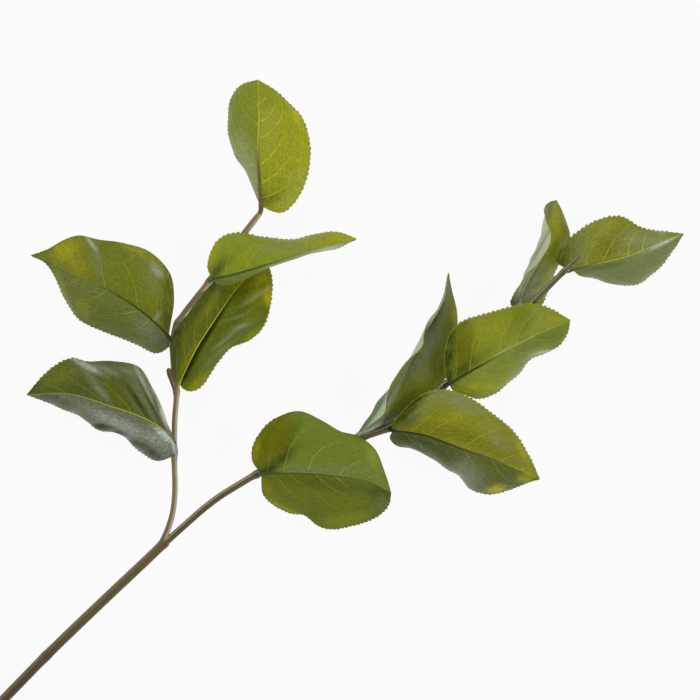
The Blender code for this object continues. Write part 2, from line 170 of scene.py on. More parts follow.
def placed(rows: tuple[Row, ...]) -> np.ndarray:
    """Rows of sheet x, sheet y and height, with any more columns in mm, in metres.

    Args:
        rows: The points on the sheet.

    Returns:
        An array with one row a point.
    """
    points = np.array(rows, dtype=float)
    points[:, 0] = (points[:, 0] - SHEET_ORIGIN[0]) * SHEET_UNIT
    points[:, 1] = (SHEET_ORIGIN[1] - points[:, 1]) * SHEET_UNIT
    points[:, 2:] *= MM
    return points


def smooth_line(rows: np.ndarray) -> np.ndarray:
    """Rows at even lengths along a smooth curve through the given rows.

    Args:
        rows: The points that the curve goes through, with any more columns.

    Returns:
        An array of FINE_STEPS rows.
    """
    spans = np.linalg.norm(np.diff(rows[:, :3], axis=0), axis=1)
    knots = np.concatenate(([0.0], np.cumsum(np.sqrt(spans))))
    slopes = np.gradient(rows, knots, axis=0)
    at = np.linspace(0.0, knots[-1], FINE_STEPS)
    first = np.clip(np.searchsorted(knots, at, side="right") - 1, 0, len(rows) - 2)
    width = (knots[first + 1] - knots[first])[:, None]
    part = (at - knots[first])[:, None] / width
    rest = 1.0 - part
    curve = rest**2 * (1.0 + 2.0 * part) * rows[first]
    curve += part**2 * (3.0 - 2.0 * part) * rows[first + 1]
    curve += part * rest * width * (rest * slopes[first] - part * slopes[first + 1])
    return on_line(curve, np.linspace(0.0, 1.0, FINE_STEPS))


def on_line(line: np.ndarray, shares: np.ndarray) -> np.ndarray:
    """The rows at shares of a line's length.

    Args:
        line: The rows of the line.
        shares: Shares of its length, from 0 to 1.

    Returns:
        An array with one row a share.
    """
    spans = np.linalg.norm(np.diff(line[:, :3], axis=0), axis=1)
    lengths = np.concatenate(([0.0], np.cumsum(spans)))
    at = np.clip(shares, 0.0, 1.0) * lengths[-1]
    return np.stack([np.interp(at, lengths, column) for column in line.T], axis=1)


def line_length(line: np.ndarray) -> float:
    """The length of a line of rows, in metres."""
    return float(np.linalg.norm(np.diff(line[:, :3], axis=0), axis=1).sum())


def unit(vectors: np.ndarray) -> np.ndarray:
    """The vectors at length one, or straight up where they have no length."""
    lengths = np.linalg.norm(vectors, axis=1, keepdims=True)
    return np.where(lengths > SHORTEST_VECTOR, vectors / np.maximum(lengths, SHORTEST_VECTOR), UPWARD)


def directions(line: np.ndarray, shares: np.ndarray) -> np.ndarray:
    """Unit vectors along a line at shares of its length.

    Args:
        line: The rows of the line.
        shares: Shares of its length, from 0 to 1.

    Returns:
        An array with one vector a share.
    """
    ahead = on_line(line, np.minimum(shares + TANGENT_STEP, 1.0))
    behind = on_line(line, np.maximum(shares - TANGENT_STEP, 0.0))
    return unit((ahead - behind)[:, :3])


def smooth_step(low: float, high: float, values: np.ndarray) -> np.ndarray:
    """0 below low, 1 above high, and a smooth change between."""
    part = np.clip((values - low) / (high - low), 0.0, 1.0)
    return part * part * (3.0 - 2.0 * part)


class Wire:
    """One output of a shader node. Sums, differences and products of wires add Math nodes."""

    def __init__(self, tree: Tree, socket: bpy.types.NodeSocket) -> None:
        """Wraps the socket of a node in the tree."""
        self.tree = tree
        self.socket = socket

    def maths(self, operation: str, *values: Wire | float) -> Wire:
        """A Math node of an operation, with these values as its inputs in order."""
        return self.tree.node("ShaderNodeMath", {"operation": operation}, dict(enumerate(values)))

    def __add__(self, other: Wire | float) -> Wire:
        """This plus the other."""
        return self.maths("ADD", self, other)

    def __radd__(self, other: float) -> Wire:
        """The other plus this."""
        return self.maths("ADD", other, self)

    def __sub__(self, other: Wire | float) -> Wire:
        """This less the other."""
        return self.maths("SUBTRACT", self, other)

    def __rsub__(self, other: float) -> Wire:
        """The other less this."""
        return self.maths("SUBTRACT", other, self)

    def __mul__(self, other: Wire | float) -> Wire:
        """This times the other."""
        return self.maths("MULTIPLY", self, other)

    def __rmul__(self, other: float) -> Wire:
        """The other times this."""
        return self.maths("MULTIPLY", other, self)

    def __abs__(self) -> Wire:
        """This without its sign."""
        return self.maths("ABSOLUTE", self)

    def rounded(self) -> Wire:
        """The nearest whole number."""
        return self.maths("ROUND", self)

    def step(self, low: Wire | float, high: Wire | float) -> Wire:
        """A smooth step of this value, which leaves 0 at low and reaches 1 at high."""
        sockets = {"Value": self, "From Min": low, "From Max": high}
        return self.tree.node("ShaderNodeMapRange", {"interpolation_type": "SMOOTHSTEP"}, sockets)


def mix(weights: Row, *parts: Wire) -> Wire:
    """The first weight, plus each part times its own weight."""
    return sum((part * weight for part, weight in zip(parts, weights[1:])), weights[0])


def change(share: Wire, first: float, last: float) -> Wire:
    """A value that goes from the first to the last as the share goes from 0 to 1."""
    return first + share * (last - first)


class Tree:
    """A material's node tree, with one method that adds any node."""

    def __init__(self, name: str) -> None:
        """Starts a new material with an empty tree.

        Args:
            name: The material's name.
        """
        self.material = bpy.data.materials.new(name)
        self.material.use_nodes = True
        self.nodes = self.material.node_tree.nodes
        self.links = self.material.node_tree.links
        self.nodes.clear()

    def add(self, kind: str, settings: dict, sockets: dict) -> bpy.types.Node:
        """Adds a node.

        Args:
            kind: The node's type.
            settings: Its own settings, which are set first. A ramp's stops are under "stops".
            sockets: Values or wires for its inputs, by name or by number.

        Returns:
            The node.
        """
        made = self.nodes.new(kind)
        for name, value in settings.items():
            if name == "stops":
                self.set_stops(made, value)
            else:
                setattr(made, name, value)
        for key, value in sockets.items():
            if isinstance(value, Wire):
                self.links.new(value.socket, made.inputs[key])
            else:
                made.inputs[key].default_value = value
        return made

    def node(self, kind: str, settings: dict, sockets: dict, output: str | int = 0) -> Wire:
        """Adds a node as `add` does, for the one of its outputs that has this name or number."""
        return Wire(self, self.add(kind, settings, sockets).outputs[output])

    @staticmethod
    def set_stops(ramp: bpy.types.Node, stops: dict[float, Rgb]) -> None:
        """Sets a colour ramp's stops.

        Args:
            ramp: The ramp's node.
            stops: Colours by their place on the ramp, two or more.
        """
        elements = ramp.color_ramp.elements
        while len(elements) < len(stops):
            elements.new(1.0)
        for element, (place, colour) in zip(elements, stops.items()):
            element.position = place
            element.color = linear(colour)

    def attribute(self, name: str) -> Wire:
        """A float attribute of the mesh."""
        return self.node("ShaderNodeAttribute", {"attribute_name": name}, {}, "Fac")

    def noise(self, kind: Noise) -> Wire:
        """Soft noise from 0 to 1, laid by the object's own coordinates.

        Args:
            kind: Which noise.

        Returns:
            The noise.
        """
        where = self.node("ShaderNodeTexCoord", {}, {}, "Object")
        scale, detail = kind.value
        sockets = {"Vector": where, "Scale": scale, "Detail": detail}
        return self.node("ShaderNodeTexNoise", {}, sockets, "Fac")

    def mixed(self, share: Wire | float, first: Wire | Rgb, second: Wire | Rgb) -> Wire:
        """A mix of two colours.

        Args:
            share: How much of the second, from 0 to 1.
            first: The first colour.
            second: The second colour.

        Returns:
            The mixed colour.
        """
        sockets = {MIX_SHARE: share}
        for key, colour in ((MIX_FIRST, first), (MIX_SECOND, second)):
            sockets[key] = colour if isinstance(colour, Wire) else linear(colour)
        return self.node("ShaderNodeMix", {"data_type": "RGBA"}, sockets, MIX_RESULT)

    def scaled(self, colour: Wire, share: Wire) -> Wire:
        """A colour times a share."""
        return self.node("ShaderNodeVectorMath", {"operation": "SCALE"}, {"Vector": colour, "Scale": share})

    def bump(self, height: Wire, distance: float, strength: float) -> Wire:
        """A normal that follows a height. A height of 1 stands for the distance, in metres."""
        sockets = {"Height": height, "Distance": distance, "Strength": strength}
        return self.node("ShaderNodeBump", {}, sockets, "Normal")

    def surface(self, sockets: dict) -> bpy.types.Material:
        """Ends the tree in one Principled shader.

        Args:
            sockets: Values or wires for the shader's inputs.

        Returns:
            The finished material.
        """
        shader = self.node("ShaderNodeBsdfPrincipled", {}, sockets)
        self.add("ShaderNodeOutputMaterial", {}, {"Surface": shader})
        return self.material


# Most patches paint light and shade: shade, sheen, reflection and glow of light through the blade.
@dataclass(frozen=True)
class Patches:
    """Soft patches of one tone on one half of a blade, or on both, placed on the sheet.

    A row holds a patch's x and y, how far it reaches to each side along its own length and across
    it, in sheet units, the degrees by which its length is turned from the sheet's x towards the top
    of the sheet, and its strength. The higher the edge, the sharper the patches end.
    """

    tone: Tone
    side: Side | None
    rows: tuple[Row, ...]
    edge: float = 1.4

    def weights(self, points: np.ndarray, sides: np.ndarray) -> np.ndarray:
        """How strong the tone is at points of a blade.

        Args:
            points: The points, in metres.
            sides: 1 for a point on the left half, -1 on the right.

        Returns:
            The strength at each point.
        """
        total = np.zeros(len(points))
        for x, y, long, wide, turn, strength in self.rows:
            away = (points - placed(((x, y, 0.0),))[0]) / SHEET_UNIT
            cos, sin = math.cos(math.radians(turn)), math.sin(math.radians(turn))
            along = (away[:, 0] * cos + away[:, 1] * sin) / long
            off = (away[:, 1] * cos - away[:, 0] * sin) / wide
            total += strength * np.exp(-((along**2 + off**2) ** self.edge))
        return total if self.side is None else total * (sides == self.side.value)


@dataclass(frozen=True)
class LeafFinish:
    """The glossy upper face of a leaf, its paler underside and its midrib.

    `left` and `right` are the colours of the upper face's halves, and they hold painted light and shade:
    each half is painted lighter, greyer or darker by how light falls on it. A half's veins, net and
    painted crease shade each have a strength from 0 to 1. That net is a dark one, painted shade in the
    sunken small veins that breaks a half's painted sheen, and `net_share` is for the pale one. `line` is
    how much of the veins' colour shows beside the midrib. Widths are millimetres.
    The stalk's colour turns into the midrib's around `rib_turn`, a share of the blade.
    """

    left: Rgb
    right: Rgb
    vein: Rgb = (166, 172, 44)
    rim: Rgb = (140, 146, 52)
    rolled: Rgb = (84, 82, 40)
    stalk: Rgb = (112, 104, 62)
    rib: Rgb = (158, 162, 48)
    rib_turn: float = 0.15
    under: Rgb = (160, 170, 128)
    left_veins: float = 0.6
    right_veins: float = 0.6
    shine: float = 0.13
    line: float = 0.55
    left_net: float = 0.0
    right_net: float = 0.0
    net_share: float = 1.0
    # Painted shade in the fold beside the midrib: its strength on each half, its colour, width and reach.
    left_crease_shade: float = 0.0
    right_crease_shade: float = 0.0
    crease_shade: Rgb = (42, 50, 10)
    crease_shade_width: float = 1.3
    crease_shade_reach: float = 0.85

    wander: float = 0.3
    vein_width: float = 0.26
    vein_taper: float = 0.14
    vein_step: Row = (0.45, 1.5)
    edge_step: Row = (0.35, 0.97)
    tip_step: Row = (0.72, 0.98)
    tip_fade: float = 0.8
    net_long: float = 3.4
    net_wide: float = 9.0
    net_finer: float = 2.4
    net_wobble: Row = (1.1, 0.7)
    net_step: Row = (0.015, 0.085)
    crease_shade_taper: float = 0.7
    crease_shade_step: Row = (0.5, 1.4)
    crease_shade_fade: float = 0.6
    side_blur: float = 0.02
    blotch_step: Row = (0.33, 0.67)
    line_step: Row = (0.1, 0.42)
    rim_step: Row = (0.1, 0.5)
    rim_strength: float = 0.6
    patch_mix: Row = (0.5, 0.35, 0.65)
    net_mix: Row = (0.0, 0.34, 0.16)
    dark_net_mix: Row = (0.0, 0.8, 0.4)
    shade_mix: Row = (0.64, 0.46, 0.3)
    height_mix: Row = (0.0, 0.5, 0.4, 0.25, 0.35)
    roughness_mix: Row = (0.26, 0.2, 0.08)
    bump: Row = (0.16 * MM, 0.7)

    under_vein: Row = (0.76, 0.8, 0.68)
    under_vein_mix: Row = (0.0, 0.4, 0.8)
    under_shade_mix: Row = (0.86, 0.2, 0.1)
    under_height_mix: Row = (0.0, 0.6, 0.4, 0.2)
    under_roughness_mix: Row = (0.56, 0.12)
    under_bump: Row = (0.15 * MM, 0.6)

    rib_step: Row = (0.5, 1.5)
    rib_roughness_mix: Row = (0.32, 0.16)
    rib_shine: float = 1.6
    rib_bump: Row = (0.06 * MM, 0.5)

    def phase(self, tree: Tree) -> Wire:
        """A number that is whole on each side vein, which wanders a little."""
        return tree.attribute("vein") + (tree.noise(Noise.WANDER) - NOISE_MIDDLE) * self.wander

    def net(self, tree: Tree, finer: float = 1.0) -> Wire:
        """The net of small veins, which follows the main ones.

        Args:
            tree: The material's tree.
            finer: How many times finer than the first net.

        Returns:
            1 on a small vein and 0 between.
        """
        wobble = tree.noise(Noise.WOBBLE)
        sockets = {
            "X": self.phase(tree) * (self.net_long * finer) + wobble * self.net_wobble[0],
            "Y": tree.attribute("across") * (self.net_wide * finer) + wobble * self.net_wobble[1],
        }
        where = tree.node("ShaderNodeCombineXYZ", {}, sockets)
        settings = {"feature": "DISTANCE_TO_EDGE", "voronoi_dimensions": "2D"}
        to_edge = tree.node("ShaderNodeTexVoronoi", settings, {"Vector": where, "Scale": 1.0}, "Distance")
        return 1.0 - to_edge.step(*self.net_step)

    def main_veins(self, tree: Tree) -> Wire:
        """The side veins that leave the midrib.

        Args:
            tree: The material's tree.

        Returns:
            1 on a side vein and 0 away from it.
        """
        phase = self.phase(tree)
        away = abs(phase - phase.rounded()) * tree.attribute("vein_gap")
        across = abs(tree.attribute("across"))
        width = self.vein_width - across * self.vein_taper
        line = 1.0 - away.step(*(width * part for part in self.vein_step))
        tip = tree.attribute("share").step(*self.tip_step) * self.tip_fade
        return line * ((1.0 - across.step(*self.edge_step)) * (1.0 - tip))

    def fold(self, tree: Tree) -> Wire:
        """The band of painted shade in the fold beside the midrib, which narrows towards the tip.

        Args:
            tree: The material's tree.

        Returns:
            1 in the fold and 0 away from it.
        """
        along = tree.attribute("share")
        width = (1.0 - along * self.crease_shade_taper) * self.crease_shade_width
        near = 1.0 - tree.attribute("off").step(*(width * part for part in self.crease_shade_step))
        return near * (1.0 - along.step(self.crease_shade_reach * self.crease_shade_fade, self.crease_shade_reach))

    def upper(self, name: str) -> bpy.types.Material:
        """The upper face.

        Args:
            name: The material's name.

        Returns:
            The material.
        """
        tree = Tree(name)
        left_half = tree.attribute("across").step(-self.side_blur, self.side_blur)
        blotch = tree.noise(Noise.BLOTCH).step(*self.blotch_step)
        mottle = tree.noise(Noise.MOTTLE)
        grain = tree.noise(Noise.GRAIN)
        ridge = (self.phase(tree) * math.tau).maths("SINE")
        # The halves' colours hold painted light and shade.
        colour = tree.mixed(left_half, self.right, self.left)
        broken = mix(self.patch_mix, blotch, mottle)
        # Patches of painted shade, painted sheen and reflection, and yellow that is partly painted glow of
        # light through the blade.
        for tone, tint in TONE_COLOURS.items():
            share = tree.attribute(tone.value) * broken
            # The painted sheen rises and falls with the ridges between the side veins.
            if tone in SHEEN_ON_RIDGES:
                share = share * (1.0 + ridge * SHEEN_ON_RIDGES[tone])
            colour = tree.mixed(share, colour, tint)
        fine = self.net(tree)
        finer = self.net(tree, self.net_finer)
        veins = self.main_veins(tree)
        strength = change(left_half, self.right_veins, self.left_veins)
        colour = tree.mixed(mix(self.net_mix, fine, finer) * strength * self.net_share, colour, self.vein)
        colour = tree.mixed(veins * strength, colour, self.vein)
        # Painted shade in the fold beside the midrib.
        strength = change(left_half, self.right_crease_shade, self.left_crease_shade)
        colour = tree.mixed(self.fold(tree) * strength, colour, self.crease_shade)
        middle = 1.0 - tree.attribute("off").step(*self.line_step)
        colour = tree.mixed(middle * self.line, colour, self.vein)
        rim = 1.0 - tree.attribute("rim").step(*self.rim_step)
        edge = tree.mixed(tree.attribute("rolled"), self.rim, self.rolled)
        colour = tree.mixed(rim * self.rim_strength, colour, edge)
        dark_net = mix(self.dark_net_mix, fine, finer) * change(left_half, self.right_net, self.left_net)
        colour = tree.scaled(colour, mix(self.shade_mix, mottle, grain) * (1.0 - dark_net))
        height = mix(self.height_mix, veins, fine, grain, mottle)
        sockets = {
            "Base Color": colour,
            "Roughness": mix(self.roughness_mix, mottle, veins),
            "Specular IOR Level": self.shine,
            "Normal": tree.bump(height, *self.bump),
        }
        return tree.surface(sockets)

    def underside(self, name: str) -> bpy.types.Material:
        """The paler, duller underside.

        Args:
            name: The material's name.

        Returns:
            The material.
        """
        tree = Tree(name)
        mottle = tree.noise(Noise.UNDER_MOTTLE)
        grain = tree.noise(Noise.UNDER_GRAIN)
        veins = self.main_veins(tree)
        fine = self.net(tree)
        darker = tuple(part * share for part, share in zip(self.under, self.under_vein))
        colour = tree.mixed(tree.attribute(Tone.SHADE.value), self.under, SHADED)
        colour = tree.mixed(mix(self.under_vein_mix, fine, veins), colour, darker)
        height = mix(self.under_height_mix, veins, fine, grain)
        sockets = {
            "Base Color": tree.scaled(colour, mix(self.under_shade_mix, mottle, grain)),
            "Roughness": mix(self.under_roughness_mix, mottle),
            "Normal": tree.bump(height, *self.under_bump),
        }
        return tree.surface(sockets)

    def midrib(self, name: str) -> bpy.types.Material:
        """The midrib and the stalk, which has a colour of its own.

        Args:
            name: The material's name.

        Returns:
            The material.
        """
        tree = Tree(name)
        turned = tree.attribute("share").step(*(self.rib_turn * part for part in self.rib_step))
        grain = tree.noise(Noise.RIB_GRAIN)
        sockets = {
            "Base Color": tree.mixed(turned, self.stalk, self.rib),
            "Roughness": mix(self.rib_roughness_mix, grain),
            "Specular IOR Level": self.shine * self.rib_shine,
            "Normal": tree.bump(grain, *self.rib_bump),
        }
        return tree.surface(sockets)


@dataclass
class Leaf:
    """One leaf: a thin toothed blade with its midrib and stalk.

    The stalk runs from the stem's axis towards the blade, and the midrib from the blade's base to
    its tip. An edge leaves out the base and the tip, and its fourth number is how far the blade
    between midrib and edge bulges. A side vein is where it leaves the midrib and how far forward it
    runs by the edge, as shares of the midrib. Where an edge is rolled under, between two shares of
    its length, no teeth show. The blade is quilted between its side veins, grooved along its midrib
    and rippled towards its edges.
    """

    node: str
    stalk: tuple[Row, ...]
    midrib: tuple[Row, ...]
    left: tuple[Row, ...]
    right: tuple[Row, ...]
    finish: LeafFinish
    left_veins: tuple[Row, ...] = VEINS
    right_veins: tuple[Row, ...] = VEINS
    patches: tuple[Patches, ...] = ()
    rolled: tuple[tuple[Side, float, float], ...] = ()

    thickness: float = 0.45
    columns: int = 30
    column_pull: float = 0.1
    tooth_pitch: float = 2.6
    tooth_depth: float = 0.95
    tooth_rows: int = 4
    tooth_change: float = 0.45
    tooth_lean: float = 0.45
    tooth_fade: float = 9.0
    rolled_blur: float = 0.03
    quilt: float = 0.42
    quilt_power: float = 0.8
    quilt_rise: float = 3.0
    quilt_fall: float = 4.0
    vein_bend: float = 1.2
    vein_before: Row = (0.14, 0.8)
    vein_after: Row = (0.16, 0.05)
    least_gap: float = 0.01
    groove_depth: float = 0.4
    groove_width: float = 0.8
    ripple: float = 0.35
    ripples: float = 5.0
    ripple_turn: float = 0.4
    stalk_radius: float = 1.15
    stalk_reach: float = 0.06
    rib_base_radius: float = 0.6
    rib_tip_radius: float = 0.2
    rib_taper: float = 0.6
    rib_rise: float = 0.42
    rib_sink_start: float = 0.4
    rib_rows: int = 90
    rib_columns: int = 14
    rib_end: float = 0.985

    def __post_init__(self) -> None:
        """Works out the leaf's lines."""
        base = placed(self.midrib[:1])
        self.rib = smooth_line(placed(self.stalk + self.midrib))
        start = int(np.argmin(np.linalg.norm(self.rib - base, axis=1)))
        self.middle = self.rib[start:]
        self.base_share = start / (len(self.rib) - 1)
        ends = np.hstack((self.middle[[0, -1]], np.zeros((2, 1))))
        self.edges = {
            side: smooth_line(np.vstack((ends[0], placed(rows), ends[1])))
            for side, rows in ((Side.LEFT, self.left), (Side.RIGHT, self.right))
        }

    def upward(self, side: Side, shares: np.ndarray) -> np.ndarray:
        """Unit vectors off the upper face of one half, at shares along the blade."""
        chords = on_line(self.edges[side], shares)[:, :3] - on_line(self.middle, shares)
        return unit(np.cross(directions(self.middle, shares), chords) * side.value)

    def veins(self, side: Side) -> tuple[Row, ...]:
        """The side veins of one half, with one more before and one after them.

        Args:
            side: The half of the blade.

        Returns:
            Where each leaves the midrib, and how far forward it runs.
        """
        veins = self.left_veins if side is Side.LEFT else self.right_veins
        before = (veins[0][0] - self.vein_before[0], veins[0][1] * self.vein_before[1])
        after = (veins[-1][0] + self.vein_after[0], self.vein_after[1])
        return (before, *veins, after)

    def vein_phase(
        self, side: Side, shares: np.ndarray, across: np.ndarray
    ) -> tuple[np.ndarray, np.ndarray]:
        """A number that is whole on each side vein.

        Args:
            side: The half of the blade.
            shares: Shares along the blade.
            across: Shares across the half.

        Returns:
            The number at each place, and the distance in mm between the veins around it.
        """
        lines = [start + forward * across**self.vein_bend for start, forward in self.veins(side)]
        phase = np.zeros(len(shares))
        gap = np.full(len(shares), (lines[1] - lines[0]).mean())
        for behind, ahead in zip(lines, lines[1:]):
            wide = np.maximum(ahead - behind, self.least_gap)
            phase += np.clip((shares - behind) / wide, 0.0, 1.0)
            gap = np.where((shares >= behind) & (shares < ahead), wide, gap)
        return phase, gap * line_length(self.middle) / MM

    def lay(self, side: Side, shares: np.ndarray, across: np.ndarray) -> dict[str, np.ndarray]:
        """Lays places of one half of the blade out in space.

        Args:
            side: The half of the blade.
            shares: Shares along the blade.
            across: Shares across the half.

        Returns:
            The points, and the values of the mesh's attributes there.
        """
        inner = on_line(self.middle, shares)
        edge = on_line(self.edges[side], shares)
        chords = edge[:, :3] - inner
        widths = np.linalg.norm(chords, axis=1) / MM
        phase, gap = self.vein_phase(side, shares, across)
        hump = HUMP_SCALE * across * (1.0 - across)
        dome = np.abs(np.sin(np.pi * phase)) ** self.quilt_power
        quilt = self.quilt * MM * dome * np.minimum(1.0, self.quilt_rise * across)
        quilt *= np.minimum(1.0, self.quilt_fall * (1.0 - across))
        groove = self.groove_depth * MM * np.exp(-((across * widths / self.groove_width) ** 2))
        groove *= 1.0 - shares
        waves = np.sin(2.0 * np.pi * (self.ripples * shares + self.ripple_turn * side.value))
        ripple = self.ripple * MM * across**3 * (waves * np.sin(np.pi * shares))
        rise = edge[:, 3] * hump + quilt - groove + ripple
        points = inner + chords * across[:, None] + self.upward(side, shares) * rise[:, None]
        rolled = self.rolled_share(side, shares)
        stand = self.tooth(shares, across) * (1.0 - rolled) * MM
        lean = self.tooth_lean * widths[:, None] * MM * directions(self.middle, shares)
        points += stand[:, None] * unit(chords + lean)
        return {
            "points": points,
            "share": shares,
            "across": across * side.value,
            "vein": np.clip(phase, HALF_PHASE, len(self.veins(side)) - 1 - HALF_PHASE),
            "vein_gap": gap,
            "rim": (1.0 - across) * widths,
            "off": across * widths,
            "rolled": rolled,
        }

    def rolled_share(self, side: Side, shares: np.ndarray) -> np.ndarray:
        """How far the edge is rolled under, from 0 to 1.

        Args:
            side: The half of the blade.
            shares: Shares along the blade.

        Returns:
            The amount at each place.
        """
        rolled = np.zeros(len(shares))
        blur = self.rolled_blur
        for rolled_side, start, end in self.rolled:
            if rolled_side is side:
                inside = smooth_step(start - blur, start + blur, shares)
                rolled = np.maximum(rolled, inside * (1.0 - smooth_step(end - blur, end + blur, shares)))
        return rolled

    def tooth(self, shares: np.ndarray, across: np.ndarray) -> np.ndarray:
        """How far the edge's teeth stand out, in mm: each rises slowly and ends sharply.

        Args:
            shares: Shares along the blade.
            across: Shares across the half.

        Returns:
            The distance at each place, 0 away from the edge.
        """
        number, part = np.divmod(shares * self.teeth + TINY_SHARE, 1.0)
        profile = part / (1.0 - 1.0 / self.tooth_rows)
        profile *= 1.0 - self.tooth_change * np.mod(number * GOLDEN, 1.0)
        ends = np.clip(self.tooth_fade * np.minimum(shares, 1.0 - shares), 0.0, 1.0)
        return self.tooth_depth * np.minimum(profile, 1.0) * ends * (across > 1.0 - TINY_SHARE)

    @property
    def teeth(self) -> int:
        """How many teeth each edge has."""
        lengths = [line_length(edge) for edge in self.edges.values()]
        return round(sum(lengths) / 2.0 / MM / self.tooth_pitch)

    def build_blade(self) -> bpy.types.Object:
        """The blade: a fine grid laid over the leaf's surface, with a thin wall.

        Returns:
            The blade's object.
        """
        shape = bmesh.new()
        rows = self.teeth * self.tooth_rows
        bmesh.ops.create_grid(shape, x_segments=rows, y_segments=2 * self.columns, size=1.0)
        flat = np.array([vert.co for vert in shape.verts])
        shares = np.clip((flat[:, 0] + 1.0) / 2.0, 0.0, 1.0)
        sides = np.where(flat[:, 1] > 0.0, 1, -1)
        even = np.clip(np.abs(flat[:, 1]), 0.0, 1.0)
        across = even - self.column_pull * np.sin(2.0 * np.pi * even)
        laid: dict[str, np.ndarray] = {}
        for side in Side:
            chosen = sides == side.value
            for name, values in self.lay(side, shares, across).items():
                laid.setdefault(name, values.copy())[chosen] = values[chosen]
        points = laid.pop("points")
        laid |= {tone.value: np.zeros(len(points)) for tone in Tone}
        for patches in self.patches:
            laid[patches.tone.value] += patches.weights(points, sides)
        for name, values in laid.items():
            layer = shape.verts.layers.float.new(name)
            for vert, value in zip(shape.verts, values):
                vert[layer] = value
        for vert, point in zip(shape.verts, points):
            vert.co = point
        bmesh.ops.remove_doubles(shape, verts=shape.verts, dist=MERGE_DISTANCE)
        piece = new_piece(self.node + "_blade", shape)
        wall = piece.modifiers.new("Thickness", "SOLIDIFY")
        wall.thickness = self.thickness * MM
        wall.offset = 0.0
        wall.material_offset = 1
        return piece

    def build_rib(self) -> bpy.types.Object:
        """The stalk and the midrib: one tapered tube along the blade.

        Returns:
            The tube's object.
        """
        shares = np.linspace(0.0, 1.0, self.rib_rows + 1) * self.rib_end
        on_blade = np.clip((shares - self.base_share) / (1.0 - self.base_share), 0.0, 1.0)
        up = unit(self.upward(Side.LEFT, on_blade) + self.upward(Side.RIGHT, on_blade))
        thinner = self.rib_tip_radius - self.rib_base_radius
        radii = self.rib_base_radius + thinner * on_blade**self.rib_taper
        stalk = 1.0 - smooth_step(0.0, self.stalk_reach, on_blade)
        radii = (radii + (self.stalk_radius - radii) * stalk) * MM
        rise = self.rib_rise * MM * (1.0 - smooth_step(self.rib_sink_start, 1.0, on_blade))
        centres = on_line(self.rib, shares) + up * ((rise - radii) * (1.0 - stalk))[:, None]
        shape = bmesh.new()
        add_tube(shape, centres, radii, up, self.rib_columns, {"share": on_blade})
        return new_piece(self.node + "_midrib", shape)

    def build(self) -> list[bpy.types.Object]:
        """Builds and dresses the leaf.

        Returns:
            Its pieces.
        """
        blade = self.build_blade()
        blade.data.materials.append(self.finish.upper(self.node + "_upper"))
        blade.data.materials.append(self.finish.underside(self.node + "_underside"))
        rib = self.build_rib()
        rib.data.materials.append(self.finish.midrib(self.node + "_rib"))
        for piece in (blade, rib):
            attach(piece, BODY)
            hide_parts(self.node)
        return [blade, rib]


def new_piece(name: str, shape: bmesh.types.BMesh) -> bpy.types.Object:
    """A smooth-shaded object at the origin, from a bmesh that is then freed.

    Args:
        name: The object's name.
        shape: Its mesh.

    Returns:
        The object.
    """
    mesh = bpy.data.meshes.new(name)
    shape.to_mesh(mesh)
    shape.free()
    mesh.shade_smooth()
    piece = bpy.data.objects.new(name, mesh)
    bpy.context.scene.collection.objects.link(piece)
    return piece


def add_tube(
    shape: bmesh.types.BMesh,
    centres: np.ndarray,
    radii: np.ndarray,
    up: np.ndarray,
    columns: int,
    values: dict[str, np.ndarray],
) -> None:
    """Adds a round tube to a bmesh: a grid wrapped round a line, with its two ends closed.

    The attribute "side" goes from -1 on the tube's right to 1 on its left.

    Args:
        shape: The bmesh.
        centres: The line's points.
        radii: The tube's radius at each, in metres.
        up: A vector at each that isn't along the line.
        columns: Faces round the tube.
        values: Attribute values at each point of the line.
    """
    floats = shape.verts.layers.float
    layers = {name: floats.get(name) or floats.new(name) for name in (*values, "side")}
    side = layers.pop("side")
    rows = len(centres) - 1
    made = bmesh.ops.create_grid(shape, x_segments=rows, y_segments=columns, size=1.0)["verts"]
    along = unit(np.gradient(centres, axis=0))
    sideways = unit(np.cross(along, up))
    over = unit(np.cross(sideways, along))
    for vert in made:
        row = round((vert.co.x + 1.0) / 2.0 * rows)
        turn = math.pi * vert.co.y
        vert.co = centres[row] + radii[row] * (math.cos(turn) * over[row] - math.sin(turn) * sideways[row])
        vert[side] = math.sin(turn)
        for name, layer in layers.items():
            vert[layer] = values[name][row]
    bmesh.ops.remove_doubles(shape, verts=made, dist=MERGE_DISTANCE)
    close_rims(shape)


def close_rims(shape: bmesh.types.BMesh) -> None:
    """Fills the open ends of a bmesh."""
    rims = [edge for edge in shape.edges if edge.is_boundary]
    bmesh.ops.holes_fill(shape, edges=rims, sides=len(rims))


